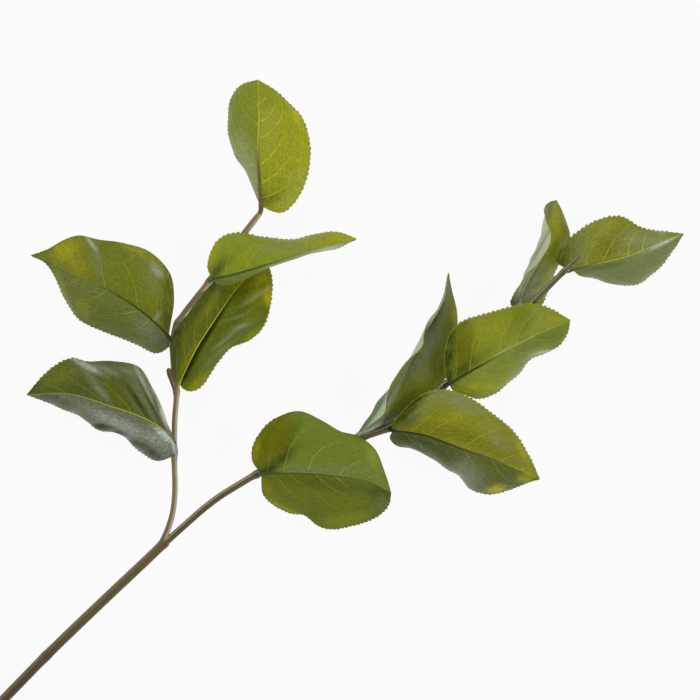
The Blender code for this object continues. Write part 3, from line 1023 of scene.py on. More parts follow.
@dataclass(frozen=True)
class BarkFinish:
    """Thin bark with fine grain. The ramp's stops are its colours by the bark's age."""

    stops: dict[float, Rgb]
    # The colour of the painted highlight, a lighter band along each shoot on the side where light falls.
    light: Rgb = (210, 200, 172)
    scar: Rgb = (70, 54, 40)
    scar_strength: float = 0.8
    shine: float = 0.4
    age_change: float = 0.04
    shade_mix: Row = (0.86, 0.16, 0.12)
    roughness_mix: Row = (0.24, 0.16)
    bump: Row = (0.06 * MM, 0.6)

    def material(self, name: str) -> bpy.types.Material:
        """The bark.

        Args:
            name: The material's name.

        Returns:
            The material.
        """
        tree = Tree(name)
        grain = tree.noise(Noise.BARK_GRAIN)
        patchy = tree.noise(Noise.WANDER)
        age = tree.attribute("age") + (patchy - NOISE_MIDDLE) * self.age_change
        colour = tree.node("ShaderNodeValToRGB", {"stops": self.stops}, {0: age})
        # A painted highlight: a lighter band on the side of each shoot where light falls.
        away = abs(tree.attribute("side") - tree.attribute("highlight_at"))
        painted_highlight = 1.0 - away.step(0.0, tree.attribute("highlight_width"))
        colour = tree.mixed(painted_highlight * tree.attribute("light"), colour, self.light)
        colour = tree.mixed(tree.attribute("scar") * self.scar_strength, colour, self.scar)
        sockets = {
            "Base Color": tree.scaled(colour, mix(self.shade_mix, grain, patchy)),
            "Roughness": mix(self.roughness_mix, grain),
            "Specular IOR Level": self.shine,
            "Normal": tree.bump(grain, *self.bump),
        }
        return tree.surface(sockets)


@dataclass(frozen=True)
class Shoot:
    """One tapered shoot of the stem.

    `radii` are shares of its length with the radius there, in mm. Each of the `nodes` is a place
    where a leaf grows, with how much the shoot swells there. `ages` are the bark's places on its
    colour ramp at the two ends. A painted highlight, a lighter band on the side where light falls, runs
    along the bark, `highlight_at` from -1 on its right to 1 on its left, `highlight_width` wide, with
    `light` as its strength.
    """

    route: tuple[Row, ...]
    radii: tuple[Row, ...]
    nodes: tuple[Row, ...]
    ages: tuple[float, float]
    # Where the painted highlight runs round the shoot, how wide it is and how strong.
    highlight_at: float
    highlight_width: float
    light: float
    swelling_reach: float = 2.6
    scar: float = 0.3
    rows: int = 420
    columns: int = 24

    def add_to(self, shape: bmesh.types.BMesh) -> None:
        """Adds the shoot to the stem.

        Args:
            shape: The stem's bmesh.
        """
        shares = np.linspace(0.0, 1.0, self.rows)
        centres = on_line(smooth_line(placed(self.route)), shares)
        radii = np.interp(shares, *zip(*self.radii)) * MM
        scars = np.zeros(self.rows)
        for row in self.nodes:
            away = np.linalg.norm(centres - placed((row[:3],)), axis=1)
            near = np.exp(-((away / (self.swelling_reach * MM)) ** 2))
            radii += row[3] * MM * near
            scars += near
        values = {
            "age": np.interp(shares, (0.0, 1.0), self.ages),
            "scar": scars * self.scar,
            "highlight_at": np.full(self.rows, self.highlight_at),
            "highlight_width": np.full(self.rows, self.highlight_width),
            "light": np.full(self.rows, self.light),
        }
        add_tube(shape, centres, radii, np.tile(UPWARD, (self.rows, 1)), self.columns, values)


@dataclass
class Stem:
    """The forked stem: the main stem, its shoots and stub, and its knobs.

    A knob is a ball on the stem: its place, its radius and its bark's place on the colour ramp.
    """

    main: Shoot
    shoots: tuple[Shoot, ...]
    knobs: tuple[Row, ...]
    finish: BarkFinish

    cut_lean: float = 0.6
    knob_subdivisions: int = 3

    def build(self) -> list[bpy.types.Object]:
        """Builds and dresses the stem.

        Returns:
            Its pieces.
        """
        shape = bmesh.new()
        self.main.add_to(shape)
        self.cut_root(shape)
        for shoot in self.shoots:
            shoot.add_to(shape)
        for knob in self.knobs:
            self.add_knob(shape, knob)
        piece = new_piece("stem_bark", shape)
        piece.data.materials.append(self.finish.material("bark"))
        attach(piece, BODY)
        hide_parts("stem")
        return [piece]

    def add_knob(self, shape: bmesh.types.BMesh, knob: Row) -> None:
        """Adds a knob to the stem.

        Args:
            shape: The stem's bmesh.
            knob: The knob's row.
        """
        place = Matrix.Translation(placed((knob[:3],))[0])
        radius, age = knob[3:]
        made = bmesh.ops.create_icosphere(
            shape, subdivisions=self.knob_subdivisions, radius=radius * MM, matrix=place
        )
        layer = shape.verts.layers.float["age"]
        for vert in made["verts"]:
            vert[layer] = age

    def cut_root(self, shape: bmesh.types.BMesh) -> None:
        """Cuts the stem's root end on a slant, and closes it.

        Args:
            shape: The stem's bmesh.
        """
        root, ahead = placed(self.main.route[:2])
        bmesh.ops.bisect_plane(
            shape,
            geom=shape.verts[:] + shape.edges[:] + shape.faces[:],
            dist=MERGE_DISTANCE,
            plane_co=(root + ahead) / 2,
            plane_no=Vector(ahead - root).normalized() + Vector((0.0, 0.0, self.cut_lean)),
            clear_inner=True,
        )
        close_rims(shape)


@dataclass(frozen=True)
class Softbox:
    """A square soft light that faces the branch. Angles are degrees, and lengths metres."""

    name: str
    azimuth: float
    elevation: float
    distance: float
    side: float
    power: float
    colour: Rgb

    def build(self, target: Vector) -> None:
        """Adds the light.

        Args:
            target: The point that it faces.
        """
        data = bpy.data.lights.new(self.name, "AREA")
        data.shape = "SQUARE"
        data.size = self.side
        data.energy = self.power
        data.color = linear(self.colour)[:3]
        azimuth, elevation = math.radians(self.azimuth), math.radians(self.elevation)
        level = math.cos(elevation)
        away = Vector((math.cos(azimuth) * level, math.sin(azimuth) * level, math.sin(elevation)))
        light = bpy.data.objects.new(self.name, data)
        light.location = target + away * self.distance
        light.rotation_euler = away.to_track_quat("Z", "Y").to_euler()
        light.visible_camera = False
        bpy.context.scene.collection.objects.link(light)


@dataclass(frozen=True)
class Studio:
    """The pale floor, the soft lights and the camera that looks straight down, in metres."""

    lights: tuple[Softbox, ...]
    floor_size: float = 6.0
    floor_colour: Rgb = (60, 60, 60)
    floor_roughness: float = 0.9
    floor_glow: float = 0.93
    world_colour: Rgb = (235, 238, 242)
    world_strength: float = 0.2
    camera_height: float = 5.0
    camera_reach: float = 20.0
    focus_height: float = 0.02
    sensor: float = 36.0

    def build(self) -> None:
        """Adds everything round the branch."""
        x, y, _ = placed(((*SHEET_MIDDLE, 0.0),))[0]
        middle = Vector((x, y, self.focus_height))
        self.build_floor()
        self.build_world()
        self.build_camera(middle)
        for light in self.lights:
            light.build(middle)
        bpy.context.scene.view_settings.view_transform = "Standard"
        bpy.context.scene.view_settings.look = "None"

    def build_floor(self) -> None:
        """The floor: a plain pale sheet, evenly lit."""
        shape = bmesh.new()
        bmesh.ops.create_grid(shape, x_segments=1, y_segments=1, size=self.floor_size / 2.0)
        floor = new_piece("floor", shape)
        sockets = {
            "Base Color": linear(self.floor_colour),
            "Roughness": self.floor_roughness,
            "Specular IOR Level": 0.0,
            "Emission Color": (1.0, 1.0, 1.0, 1.0),
            "Emission Strength": self.floor_glow,
        }
        floor.data.materials.append(Tree("floor_paper").surface(sockets))

    def build_world(self) -> None:
        """The light of the room."""
        world = bpy.data.worlds.new("room")
        world.use_nodes = True
        background = world.node_tree.nodes["Background"]
        background.inputs["Color"].default_value = linear(self.world_colour)
        background.inputs["Strength"].default_value = self.world_strength
        bpy.context.scene.world = world

    def build_camera(self, middle: Vector) -> None:
        """The camera, far above the middle of the sheet with a long lens.

        Args:
            middle: The point that it looks at.
        """
        data = bpy.data.cameras.new("camera")
        data.sensor_width = self.sensor
        data.sensor_fit = "HORIZONTAL"
        data.lens = self.sensor * self.camera_height / (SHEET_WIDTH * SHEET_UNIT)
        data.clip_end = self.camera_reach
        camera = bpy.data.objects.new("camera", data)
        camera.location = middle + Vector((0.0, 0.0, self.camera_height))
        bpy.context.scene.collection.objects.link(camera)
        bpy.context.scene.camera = camera


BARK_STOPS: dict[float, Rgb] = {
    0.0: (76, 57, 36), 0.12: (84, 62, 36), 0.2: (94, 76, 38), 0.32: (98, 84, 44), 0.36: (122, 104, 66),
    0.48: (126, 110, 74), 0.6: (132, 114, 72), 0.65: (88, 76, 40), 0.85: (94, 84, 54), 1.0: (84, 78, 44),
}

STEM = Stem(
    main=Shoot(
        route=(
            (-56, 760, 2.6), (-44, 748, 2.9), (3.5, 699.5, 6), (46.5, 655.5, 9), (102, 602, 12.5),
            (143.7, 562.7, 15), (165.5, 541.7, 16),
        ),
        radii=((0.0, 2.8), (1.0, 2.65)),
        nodes=((45, 657, 9, 0.22), (163, 543, 16, 0.25)),
        ages=(0.0, 0.32),
        highlight_at=0.9,
        highlight_width=1.2,
        light=0.15,
    ),
    shoots=(
        Shoot(
            route=(
                (160, 546, 16), (166.5, 532.5, 16.5), (172.5, 513, 17.5), (174.8, 492, 18),
                (174.2, 456, 18.8), (174.7, 420, 19.3), (176.5, 392, 19.7), (173.5, 366, 20),
                (173, 340, 20), (176, 326, 20), (183.5, 314, 20.2), (197.5, 296, 20.8),
                (208, 283, 21.3), (227, 256, 21.5), (245, 232.5, 21.8), (261, 212, 22.5),
            ),
            radii=((0.0, 1.75), (0.12, 1.55), (0.6, 1.6), (0.965, 1.75), (0.985, 1.6), (1.0, 1.1)),
            nodes=(
                (175, 457, 19, 0.3), (176.5, 391, 20, 0.5), (173.5, 344, 20, 0.5),
                (177.5, 323, 20.5, 0.5), (209, 281, 21.5, 0.4),
            ),
            ages=(0.34, 0.6),
            highlight_at=-0.7,
            highlight_width=0.85,
            light=0.5,
        ),
        Shoot(
            route=(
                (157, 550, 16), (184.5, 525.5, 16.5), (204.5, 508, 17.5), (220.5, 496, 18), (241, 483.3, 19),
                (257, 474, 19.5), (300, 456, 20.5), (345, 441, 21.5), (365, 436, 22), (390, 427, 22.5),
                (415, 409, 23), (441, 388, 24), (470, 362, 25), (500, 334, 25.5), (532, 303, 26),
                (560, 275, 27), (579, 256, 27.8),
            ),
            radii=(
                (0.0, 2.1), (0.05, 1.9), (0.7, 1.95), (0.88, 1.75), (0.94, 1.6), (0.955, 1.3), (0.985, 1.2),
                (0.996, 0.9), (1.0, 0.4),
            ),
            nodes=(
                (257, 474, 19.5, 0.5), (363, 436, 22, 0.5), (389, 428, 22.5, 0.5), (442, 387, 24, 0.5),
                (519, 316, 25.8, 0.4), (563.5, 272, 27, 0.5),
            ),
            ages=(0.65, 1.0),
            highlight_at=0.55,
            highlight_width=0.42,
            light=0.45,
        ),
        Shoot(
            route=((177, 394, 19.8), (173, 384, 20.5), (170, 375, 21), (168.5, 368, 21.5)),
            radii=((0.0, 1.4), (0.55, 1.25), (0.8, 1.55), (0.92, 1.45), (0.98, 0.9), (1.0, 0.3)),
            nodes=(),
            ages=(0.65, 0.65),
            highlight_at=-0.6,
            highlight_width=0.9,
            light=0.3,
        ),
    ),
    knobs=((166.8, 543.2, 16.5, 1.6, 0.34),),
    finish=BarkFinish(BARK_STOPS),
)

# In the leaves below, the dark patches paint shade, the grey and pale ones sheen and reflection, the yellow
# ones partly glow of light through the blade, and each half's colour holds painted light and shade.
LEFT_1 = Leaf(
    node="leaf_left_1",
    stalk=((174.8, 460, 19), (175.6, 457, 21)),
    midrib=(
        (177, 452.5, 22.8), (174, 440, 23.8), (161, 427.5, 24.2), (141, 416.5, 24), (112, 406.5, 22.5),
        (69, 393.8, 16.5), (26, 395, 7),
    ),
    left=(
        (170, 457.5, 16, 1), (154, 460, 7, 3), (137, 449.5, 2.5, 4), (125, 437, 1.4, 4), (115, 433, 1.1, 4),
        (98, 429.5, 1.1, 4), (80, 416.5, 2, 3), (58, 407, 4.5, 2), (41, 400, 7, 0),
    ),
    right=(
        (176.3, 443, 24.2, 0), (169.5, 428, 25, 0), (162.5, 408.5, 25.5, 1), (152.8, 388, 26, 2),
        (139, 367, 25.5, 2), (112, 361, 24, 2), (87, 361.5, 22, 2), (72, 358.5, 18, 2), (54, 366.5, 14, 1),
        (38, 381, 10, 0),
    ),
    finish=LeafFinish(
        left=(116, 121, 96), right=(82, 90, 34), left_veins=0.15, rib=(172, 170, 30), left_net=0.5,
        rolled=(120, 122, 104), left_crease_shade=0.35, crease_shade=(66, 74, 38), crease_shade_width=0.9,
        stalk=(150, 155, 140), net_share=0.6,
    ),
    stalk_radius=0.75,
    quilt=0.8,
    rolled=((Side.RIGHT, 0.0, 0.66), (Side.LEFT, 0.0, 0.12)),
    left_veins=((0.07, 0.25), (0.2, 0.25), (0.33, 0.2), (0.46, 0.17), (0.6, 0.15), (0.75, 0.12)),
    right_veins=((0.08, 0.45), (0.17, 0.47), (0.27, 0.47), (0.36, 0.46), (0.54, 0.45), (0.77, 0.25)),
    patches=(
        Patches(Tone.DARK, Side.LEFT, (
            (105, 431, 19, 7, -10, 1.9), (148, 455, 26, 8.5, -34, 0.7),
        ), edge=3.0),
        Patches(Tone.DARK, Side.LEFT, ((60, 400, 26, 3, -20, 0.3),)),
        Patches(Tone.PALE, Side.LEFT, (
            (166, 435, 14, 4, -38, 1.0), (175.5, 447, 13, 3, -82, 0.9), (124, 426, 44, 6, -24, 0.35),
            (163, 446, 12, 8, -50, 0.14),
        )),
        Patches(Tone.DARK, Side.RIGHT, (
            (139, 402, 26, 2.6, -57, 1.0), (150, 402, 26, 2.0, -64, 0.9), (160, 414, 20, 1.8, -68, 0.8),
            (126, 374, 18, 3, -30, 0.35),
        )),
        Patches(Tone.GREY, Side.RIGHT, (
            (150, 396, 40, 15, -62, 0.5), (97, 386, 26, 4, -52, 0.6), (108, 370, 30, 5, -8, 0.6),
        )),
        Patches(Tone.OLIVE, Side.RIGHT, ((117, 396, 27, 5, -52, 0.5),)),
        Patches(Tone.PALE, Side.RIGHT, (
            (86, 365.5, 18, 2.6, -28, 0.5), (158, 396, 30, 3, -66, 0.4), (144, 384, 22, 1.8, -64, 0.3),
            (166, 418, 15, 4, -68, 0.75),
        )),
        Patches(Tone.YELLOW, Side.RIGHT, ((58, 375, 24, 12, 20, 0.16),)),
    ),
)

LEFT_2 = Leaf(
    node="leaf_left_2",
    stalk=((173.5, 344, 20), (171.5, 340.5, 21)),
    midrib=(
        (168.5, 336.5, 21.5), (144, 313, 23), (110, 290.5, 20.5), (69, 271.5, 12), (49, 260, 6),
        (30, 255, 1),
    ),
    left=(
        (170.5, 344, 17, 1), (157, 352.5, 12, 2), (139, 345.5, 8, 3), (120, 337, 6.5, 3), (95, 328, 5, 3),
        (76, 316, 3.5, 3), (65, 300, 2.5, 2), (57, 282, 2.5, 1), (45, 263, 3.2, 0),
    ),
    right=(
        (171, 323, 24, 0), (174.3, 300, 26, 1), (170, 273, 27, 2), (150, 252, 26, 2), (123, 243, 23, 2),
        (98, 239.5, 18, 2), (80, 235.5, 15, 2), (64, 239.5, 10, 1), (46, 249.5, 5, 0),
    ),
    finish=LeafFinish(
        left=(104, 113, 50), right=(110, 117, 30), rim=(132, 118, 48), rib=(140, 144, 40),
        stalk=(56, 68, 28), rib_turn=0.45, rolled=(112, 84, 36), left_crease_shade=0.45, crease_shade=(50, 62, 24),
        crease_shade_width=0.9, crease_shade_reach=0.62, line=0.35,
    ),
    rolled=((Side.RIGHT, 0.0, 0.92),),
    left_veins=((0.03, 0.25), (0.15, 0.25), (0.24, 0.42), (0.46, 0.3), (0.65, 0.22), (0.82, 0.15)),
    right_veins=((0.07, 0.34), (0.24, 0.42), (0.48, 0.25), (0.66, 0.22), (0.82, 0.15)),
    patches=(
        Patches(Tone.DARK, Side.LEFT, ((166, 340, 12, 8, -40, 0.25),)),
        Patches(Tone.GREY, Side.LEFT, ((153, 336, 26, 10, -38, 0.6),)),
        Patches(Tone.YELLOW, Side.LEFT, ((62, 285, 30, 3, -68, 0.25), (83, 308, 13, 6, -60, 0.3))),
        Patches(Tone.DARK, Side.RIGHT, ((168.5, 304, 34, 6, 88, 0.45),), edge=2.5),
        Patches(Tone.GREY, Side.RIGHT, ((97, 262, 16, 5, -75, 0.4), (152, 282, 22, 7, -55, 0.2))),
        Patches(Tone.OLIVE, Side.RIGHT, ((162, 298, 28, 7, 80, 0.35),)),
        Patches(Tone.PALE, Side.RIGHT, (
            (91.5, 243.5, 11, 1.6, -52, 0.55), (157.5, 271, 9, 4.5, -50, 0.3), (156, 318, 8, 2.5, 50, 0.2),
        )),
        Patches(Tone.YELLOW, Side.RIGHT, (
            (66, 249, 16, 9, 20, 0.6), (74, 264, 18, 12, -40, 0.35), (138, 251, 20, 5, -28, 0.3),
        )),
    ),
)

LEFT_3 = Leaf(
    node="leaf_left_3",
    stalk=((176.5, 391, 20), (178, 387.5, 21.7)),
    midrib=((179.5, 383.5, 23), (196, 349, 22.5), (217, 316, 17.5), (237, 288, 10.5), (264, 262, 3.5)),
    left=(
        (176, 378, 25.5, 0), (171.8, 362, 29, -1), (171.3, 345, 32, -1), (177, 328, 33, -1),
        (189.5, 312.5, 30, -1), (200.5, 297, 25, 0), (213, 280.5, 15, 0), (243, 265, 6, 0),
    ),
    right=(
        (183, 388.5, 20.5, 0), (191, 391, 18.5, 1), (202, 385, 16.5, 2), (219, 359.5, 13.5, 2),
        (231, 347.5, 12, 2), (249.5, 339.5, 10, 2), (262.5, 327, 8, 2), (270, 303, 5.5, 2),
        (271.5, 281, 4, 1), (269, 268, 3.5, 0),
    ),
    finish=LeafFinish(
        left=(78, 88, 2), right=(92, 104, 12), rib=(188, 184, 26), stalk=(158, 156, 30), line=0.75,
        vein=(158, 156, 14), rolled=(60, 80, 48), shine=0.08, right_crease_shade=1.0, crease_shade=(32, 40, 0),
        crease_shade_width=3.6, crease_shade_reach=0.8, left_veins=0.7, right_veins=0.35,
    ),
    rolled=((Side.LEFT, 0.0, 0.7),),
    stalk_radius=0.7,
    rib_base_radius=0.5,
    left_veins=((0.12, 0.3), (0.25, 0.34), (0.4, 0.28), (0.53, 0.23), (0.72, 0.2)),
    right_veins=((0.1, 0.38), (0.25, 0.53), (0.45, 0.44), (0.56, 0.34), (0.75, 0.2)),
    patches=(
        Patches(Tone.DARK, Side.LEFT, (
            (174, 352, 38, 6.5, 86, 0.8), (190, 315, 30, 6.5, 52, 0.6),
        ), edge=2.0),
        Patches(Tone.GREY, Side.LEFT, ((219, 287, 10, 5, 62, 0.3),)),
        Patches(Tone.OLIVE, Side.LEFT, ((194, 340, 50, 10, 60, 0.15), (229, 288, 18, 6, 52, 0.2))),
        Patches(Tone.YELLOW, Side.LEFT, (
            (212, 303, 20, 3.5, 56, 0.2), (188, 360, 22, 3.5, 62, 0.15), (245, 278, 22, 5, 45, 0.25),
        )),
        Patches(Tone.DARK, Side.RIGHT, (
            (198, 366, 40, 5, 57, 0.35), (236, 318, 36, 5, 42, 0.25), (240, 333, 20, 4, 22, 0.25),
        )),
        Patches(Tone.GREY, Side.RIGHT, ((228, 345, 34, 3, 42, 0.25),)),
        Patches(Tone.PALE, Side.RIGHT, (
            (229, 336, 20, 1.6, 40, 0.14), (242, 326, 10, 1.4, 15, 0.14), (237, 317, 12, 1.4, 20, 0.12),
            (256, 296, 20, 2.2, 34, 0.13),
        )),
        Patches(Tone.YELLOW, Side.RIGHT, (
            (260, 287, 24, 9, 66, 0.4), (268, 297, 5, 9, 0, 1.0), (254, 333, 14, 4, 35, 0.3),
            (197, 384, 16, 6, 38, 0.35),
        )),
    ),
)

LEFT_4 = Leaf(
    node="leaf_left_4",
    stalk=((209, 282, 21.5), (210.5, 280.5, 24)),
    midrib=(
        (213, 279, 26.5), (231, 275.5, 30), (251, 270, 31.5), (290, 258, 31), (322, 248, 28),
        (356, 239, 22),
    ),
    left=(
        (208, 269, 28, 0), (210.5, 255, 29.5, 1), (219, 240, 30, 1), (235, 233.5, 30, 1),
        (260, 237, 25.5, 2), (288, 240, 20, 2), (312, 235.5, 17, 2), (333, 232, 17.5, 1),
        (348, 235.5, 20.5, 0),
    ),
    right=(
        (217, 283.5, 24, 0), (228, 284.5, 19, 1), (241, 281, 15.5, 1), (256, 271.5, 13.5, 1),
        (275, 262.5, 13.5, 1), (295, 256, 14, 1), (315, 252, 16.5, 0), (335, 249, 19, 0),
        (347, 243.5, 21, 0),
    ),
    finish=LeafFinish(
        left=(127, 140, 36), right=(108, 122, 50), rib=(146, 156, 70), stalk=(70, 82, 30), line=0.15,
        rib_turn=0.5,
    ),
    tooth_depth=1.0,
    stalk_radius=0.95,
    rib_base_radius=1.15,
    left_veins=((0.07, 0.31), (0.24, 0.37), (0.46, 0.36), (0.64, 0.25), (0.8, 0.15)),
    patches=(
        Patches(Tone.YELLOW, None, ((344, 238, 14, 5, -10, 0.5),)),
        Patches(Tone.DARK, Side.LEFT, ((220.5, 266, 14, 5.5, 48, 0.55), (216, 274, 9, 4, 40, 0.3))),
        Patches(Tone.GREY, Side.LEFT, ((285, 248, 28, 6, 0, 0.2),)),
        Patches(Tone.OLIVE, Side.LEFT, ((240, 258, 16, 8, 60, 0.2),)),
        Patches(Tone.YELLOW, Side.LEFT, (
            (213, 253, 18, 5, 65, 0.5), (243, 257, 12, 6, 50, 0.25), (322, 241, 34, 6, 4, 0.35),
        )),
        Patches(Tone.GREY, Side.RIGHT, ((305, 255, 22, 3, 14, 0.5), (275, 263, 14, 3, 18, 0.4))),
        Patches(Tone.PALE, Side.RIGHT, ((334, 248, 18, 4, 12, 0.5),)),
    ),
)

LEFT_5 = Leaf(
    node="leaf_left_5",
    stalk=((259.5, 214, 22.3), (261, 210, 23)),
    midrib=((261, 206, 24), (259.3, 177, 26), (258, 154, 25), (259, 118, 18.5), (257.5, 79, 4)),
    left=(
        (257, 198, 21, 0), (251.5, 184, 15, 1), (243, 167, 9, 2), (234, 153, 5, 3), (229, 135, 2, 3),
        (228, 115, 1.1, 3), (231.5, 97, 1, 2), (240, 85, 1.5, 1),
    ),
    right=(
        (270, 210.5, 23, 0), (281, 212.5, 22, 1), (290, 207, 21, 1), (301, 191.5, 20, 2),
        (309, 165, 18.5, 3), (309, 142, 17, 3), (303, 120, 13, 2), (292, 106.5, 10, 2), (276, 91, 6.5, 1),
    ),
    finish=LeafFinish(
        left=(124, 136, 38), right=(142, 149, 28), vein=(194, 198, 50), rib=(176, 182, 48),
        stalk=(98, 96, 46), rib_turn=0.42, side_blur=0.05, line=0.75, right_veins=0.95, left_veins=0.45,
    ),
    rolled=((Side.LEFT, 0.0, 0.35),),
    left_veins=((0.1, 0.4), (0.25, 0.5), (0.42, 0.4), (0.6, 0.3), (0.77, 0.15)),
    right_veins=((0.04, 0.35), (0.16, 0.45), (0.3, 0.56), (0.49, 0.42), (0.62, 0.34), (0.78, 0.2)),
    rib_rise=0.9,
    rib_base_radius=1.4,
    stalk_radius=1.4,
    patches=(
        Patches(Tone.OLIVE, Side.LEFT, ((234, 122, 18, 8, 85, 0.2),)),
        Patches(Tone.PALE, Side.LEFT, ((260, 143, 12, 0.7, 88, 0.4), (250, 168, 34, 9, -75, 0.2))),
        Patches(Tone.YELLOW, Side.LEFT, ((243, 160, 30, 6, -68, 0.2),)),
        Patches(Tone.DARK, Side.RIGHT, (
            (268, 96, 20, 14, 0, 0.15), (268, 199, 14, 6, 12, 0.5), (264, 188, 18, 3, 84, 0.25),
        )),
        Patches(Tone.OLIVE, Side.RIGHT, ((276, 188, 20, 10, 30, 0.25),)),
        Patches(Tone.YELLOW, Side.RIGHT, ((297, 117, 9, 5, -65, 0.75),), edge=2.0),
        Patches(Tone.YELLOW, Side.RIGHT, ((303, 152, 34, 6, 85, 0.25),)),
    ),
)

RIGHT_1 = Leaf(
    node="leaf_right_1",
    stalk=((257, 474, 19.5), (259, 474, 22)),
    midrib=((262, 473.5, 24.5), (290, 471.5, 28), (331, 474, 27.5), (366, 480, 22.5), (391, 492.5, 16)),
    left=(
        (253, 462, 25.5, 0), (252.5, 449, 27, 0), (259, 434.5, 28, 0), (273, 420, 29, 1), (298, 411, 29, 2),
        (323, 421, 29.5, 2), (340, 431, 29, 2), (358, 436, 28, 2), (374, 448, 26, 1), (384, 470, 20, 0),
    ),
    right=(
        (261.5, 483, 23, 0), (263, 493, 20, 1), (273, 504.5, 17, 2), (290, 512.5, 14.5, 2),
        (304, 515, 13.5, 2), (318, 525.5, 12.5, 2), (334, 529, 12, 2), (356, 524.5, 11, 2),
        (378, 516, 11, 1), (389, 504, 12.5, 0),
    ),
    finish=LeafFinish(
        left=(106, 122, 40), right=(99, 108, 24), rim=(116, 112, 44), rib=(124, 136, 76),
        stalk=(72, 82, 36), left_veins=0.5, right_veins=0.5, line=0.2, rolled=(86, 92, 34),
        right_crease_shade=0.5, crease_shade=(58, 66, 30), crease_shade_width=1.6, crease_shade_reach=1.1, net_share=0.5, shine=0.1,
    ),
    rolled=((Side.LEFT, 0.3, 0.97),),
    left_veins=((0.02, 0.36), (0.17, 0.35), (0.35, 0.33), (0.57, 0.35), (0.78, 0.2)),
    right_veins=((0.07, 0.5), (0.19, 0.72), (0.39, 0.85), (0.54, 0.8)),
    patches=(
        Patches(Tone.DARK, Side.LEFT, (
            (277, 462, 26, 5, 36, 0.6), (290, 440, 30, 4, 66, 0.25), (268, 470, 14, 3, 15, 0.3),
            (345, 430, 30, 3, -25, 0.3),
        )),
        Patches(Tone.GREY, Side.LEFT, ((322, 469, 62, 5, -2, 0.22),)),
        Patches(Tone.OLIVE, Side.LEFT, ((271, 444, 38, 21, 66, 0.95),), edge=2.2),
        Patches(Tone.YELLOW, Side.LEFT, ((372, 458, 14, 5, -60, 0.25), (256.5, 450, 13, 4, 80, 0.3))),
        Patches(Tone.DARK, Side.RIGHT, ((379, 494, 24, 13, 80, 0.35),), edge=2.0),
        Patches(Tone.DARK, Side.RIGHT, ((336, 484, 60, 8, -8, 0.4),)),
        Patches(Tone.GREY, Side.RIGHT, ((380, 505, 12, 7, 30, 0.3),)),
        Patches(Tone.YELLOW, Side.RIGHT, (
            (282, 507, 22, 3, -26, 0.4), (345, 520, 24, 6, 12, 0.18), (268, 489, 14, 6, -60, 0.2),
        )),
    ),
)

RIGHT_2 = Leaf(
    node="leaf_right_2",
    stalk=((354, 438.5, 21.7), (355.5, 436.5, 23.3)),
    midrib=(
        (358.5, 434, 24.5), (373, 422, 25), (387, 405, 25), (398, 384, 24), (411, 361, 22),
        (430, 326, 18.5), (443, 301, 15), (448.5, 273, 12),
    ),
    left=(
        (366, 428.5, 28, -2.5), (376, 420.5, 33.5, -4.5), (384.5, 412, 37, -6), (387.5, 398, 39, -3.5),
        (391.5, 383, 39, 0), (401, 369, 38, 0), (411, 358, 36, -1), (421.5, 346, 33, -2),
        (424.5, 332, 31, -1), (430, 319, 28, 0), (437.5, 309, 24, 0), (444.5, 294, 18.5, 0),
    ),
    right=(
        (366, 434, 23, 0), (380, 428, 20.5, 0), (394, 421, 18, 0), (412, 409, 17, 1), (434, 393, 16, 2),
        (446, 376, 15, 2), (452.5, 353, 13, 2), (457, 329, 11, 2), (457, 311, 10.5, 1), (452, 291, 11, 0),
    ),
    finish=LeafFinish(
        left=(108, 120, 68), right=(108, 114, 38), rib=(132, 142, 100), stalk=(150, 160, 134), rib_turn=0.4,
        under=(180, 192, 152), crease_shade=(70, 82, 50), right_crease_shade=0.35,
    ),
    rolled=((Side.RIGHT, 0.72, 1.0), (Side.LEFT, 0.0, 0.3)),
    left_veins=((0.1, 0.3), (0.25, 0.35), (0.42, 0.35), (0.6, 0.3), (0.78, 0.2)),
    right_veins=((0.12, 0.12), (0.3, 0.45), (0.53, 0.38), (0.7, 0.25), (0.84, 0.15)),
    rib_base_radius=1.25,
    stalk_radius=1.2,
    patches=(
        Patches(Tone.GREY, None, ((446, 292, 20, 7, 80, 0.7),)),
        Patches(Tone.GREY, Side.LEFT, ((436, 312, 20, 4, 62, 0.9), (420, 343, 24, 4, 58, 0.6))),
        Patches(Tone.PALE, Side.LEFT, ((437, 309, 18, 3.4, 62, 0.65),)),
        Patches(Tone.SHADE, Side.LEFT, ((368.5, 413.5, 34, 6.5, 55, 1.6),), edge=2.5),
        Patches(Tone.DARK, Side.RIGHT, ((406, 416, 20, 4, 34, 0.3),)),
        Patches(Tone.GREY, Side.RIGHT, ((426, 346, 32, 8, 60, 0.95), (380, 424, 24, 7, 25, 1.0))),
        Patches(Tone.PALE, Side.RIGHT, ((398, 386, 28, 2, 64, 0.5), (376, 427, 22, 2, 24, 0.5))),
        Patches(Tone.YELLOW, Side.RIGHT, (
            (455, 314, 4, 13, 0, 0.6), (438, 385, 20, 8, 40, 0.3), (412, 398, 30, 12, 30, 0.3),
        )),
    ),
)

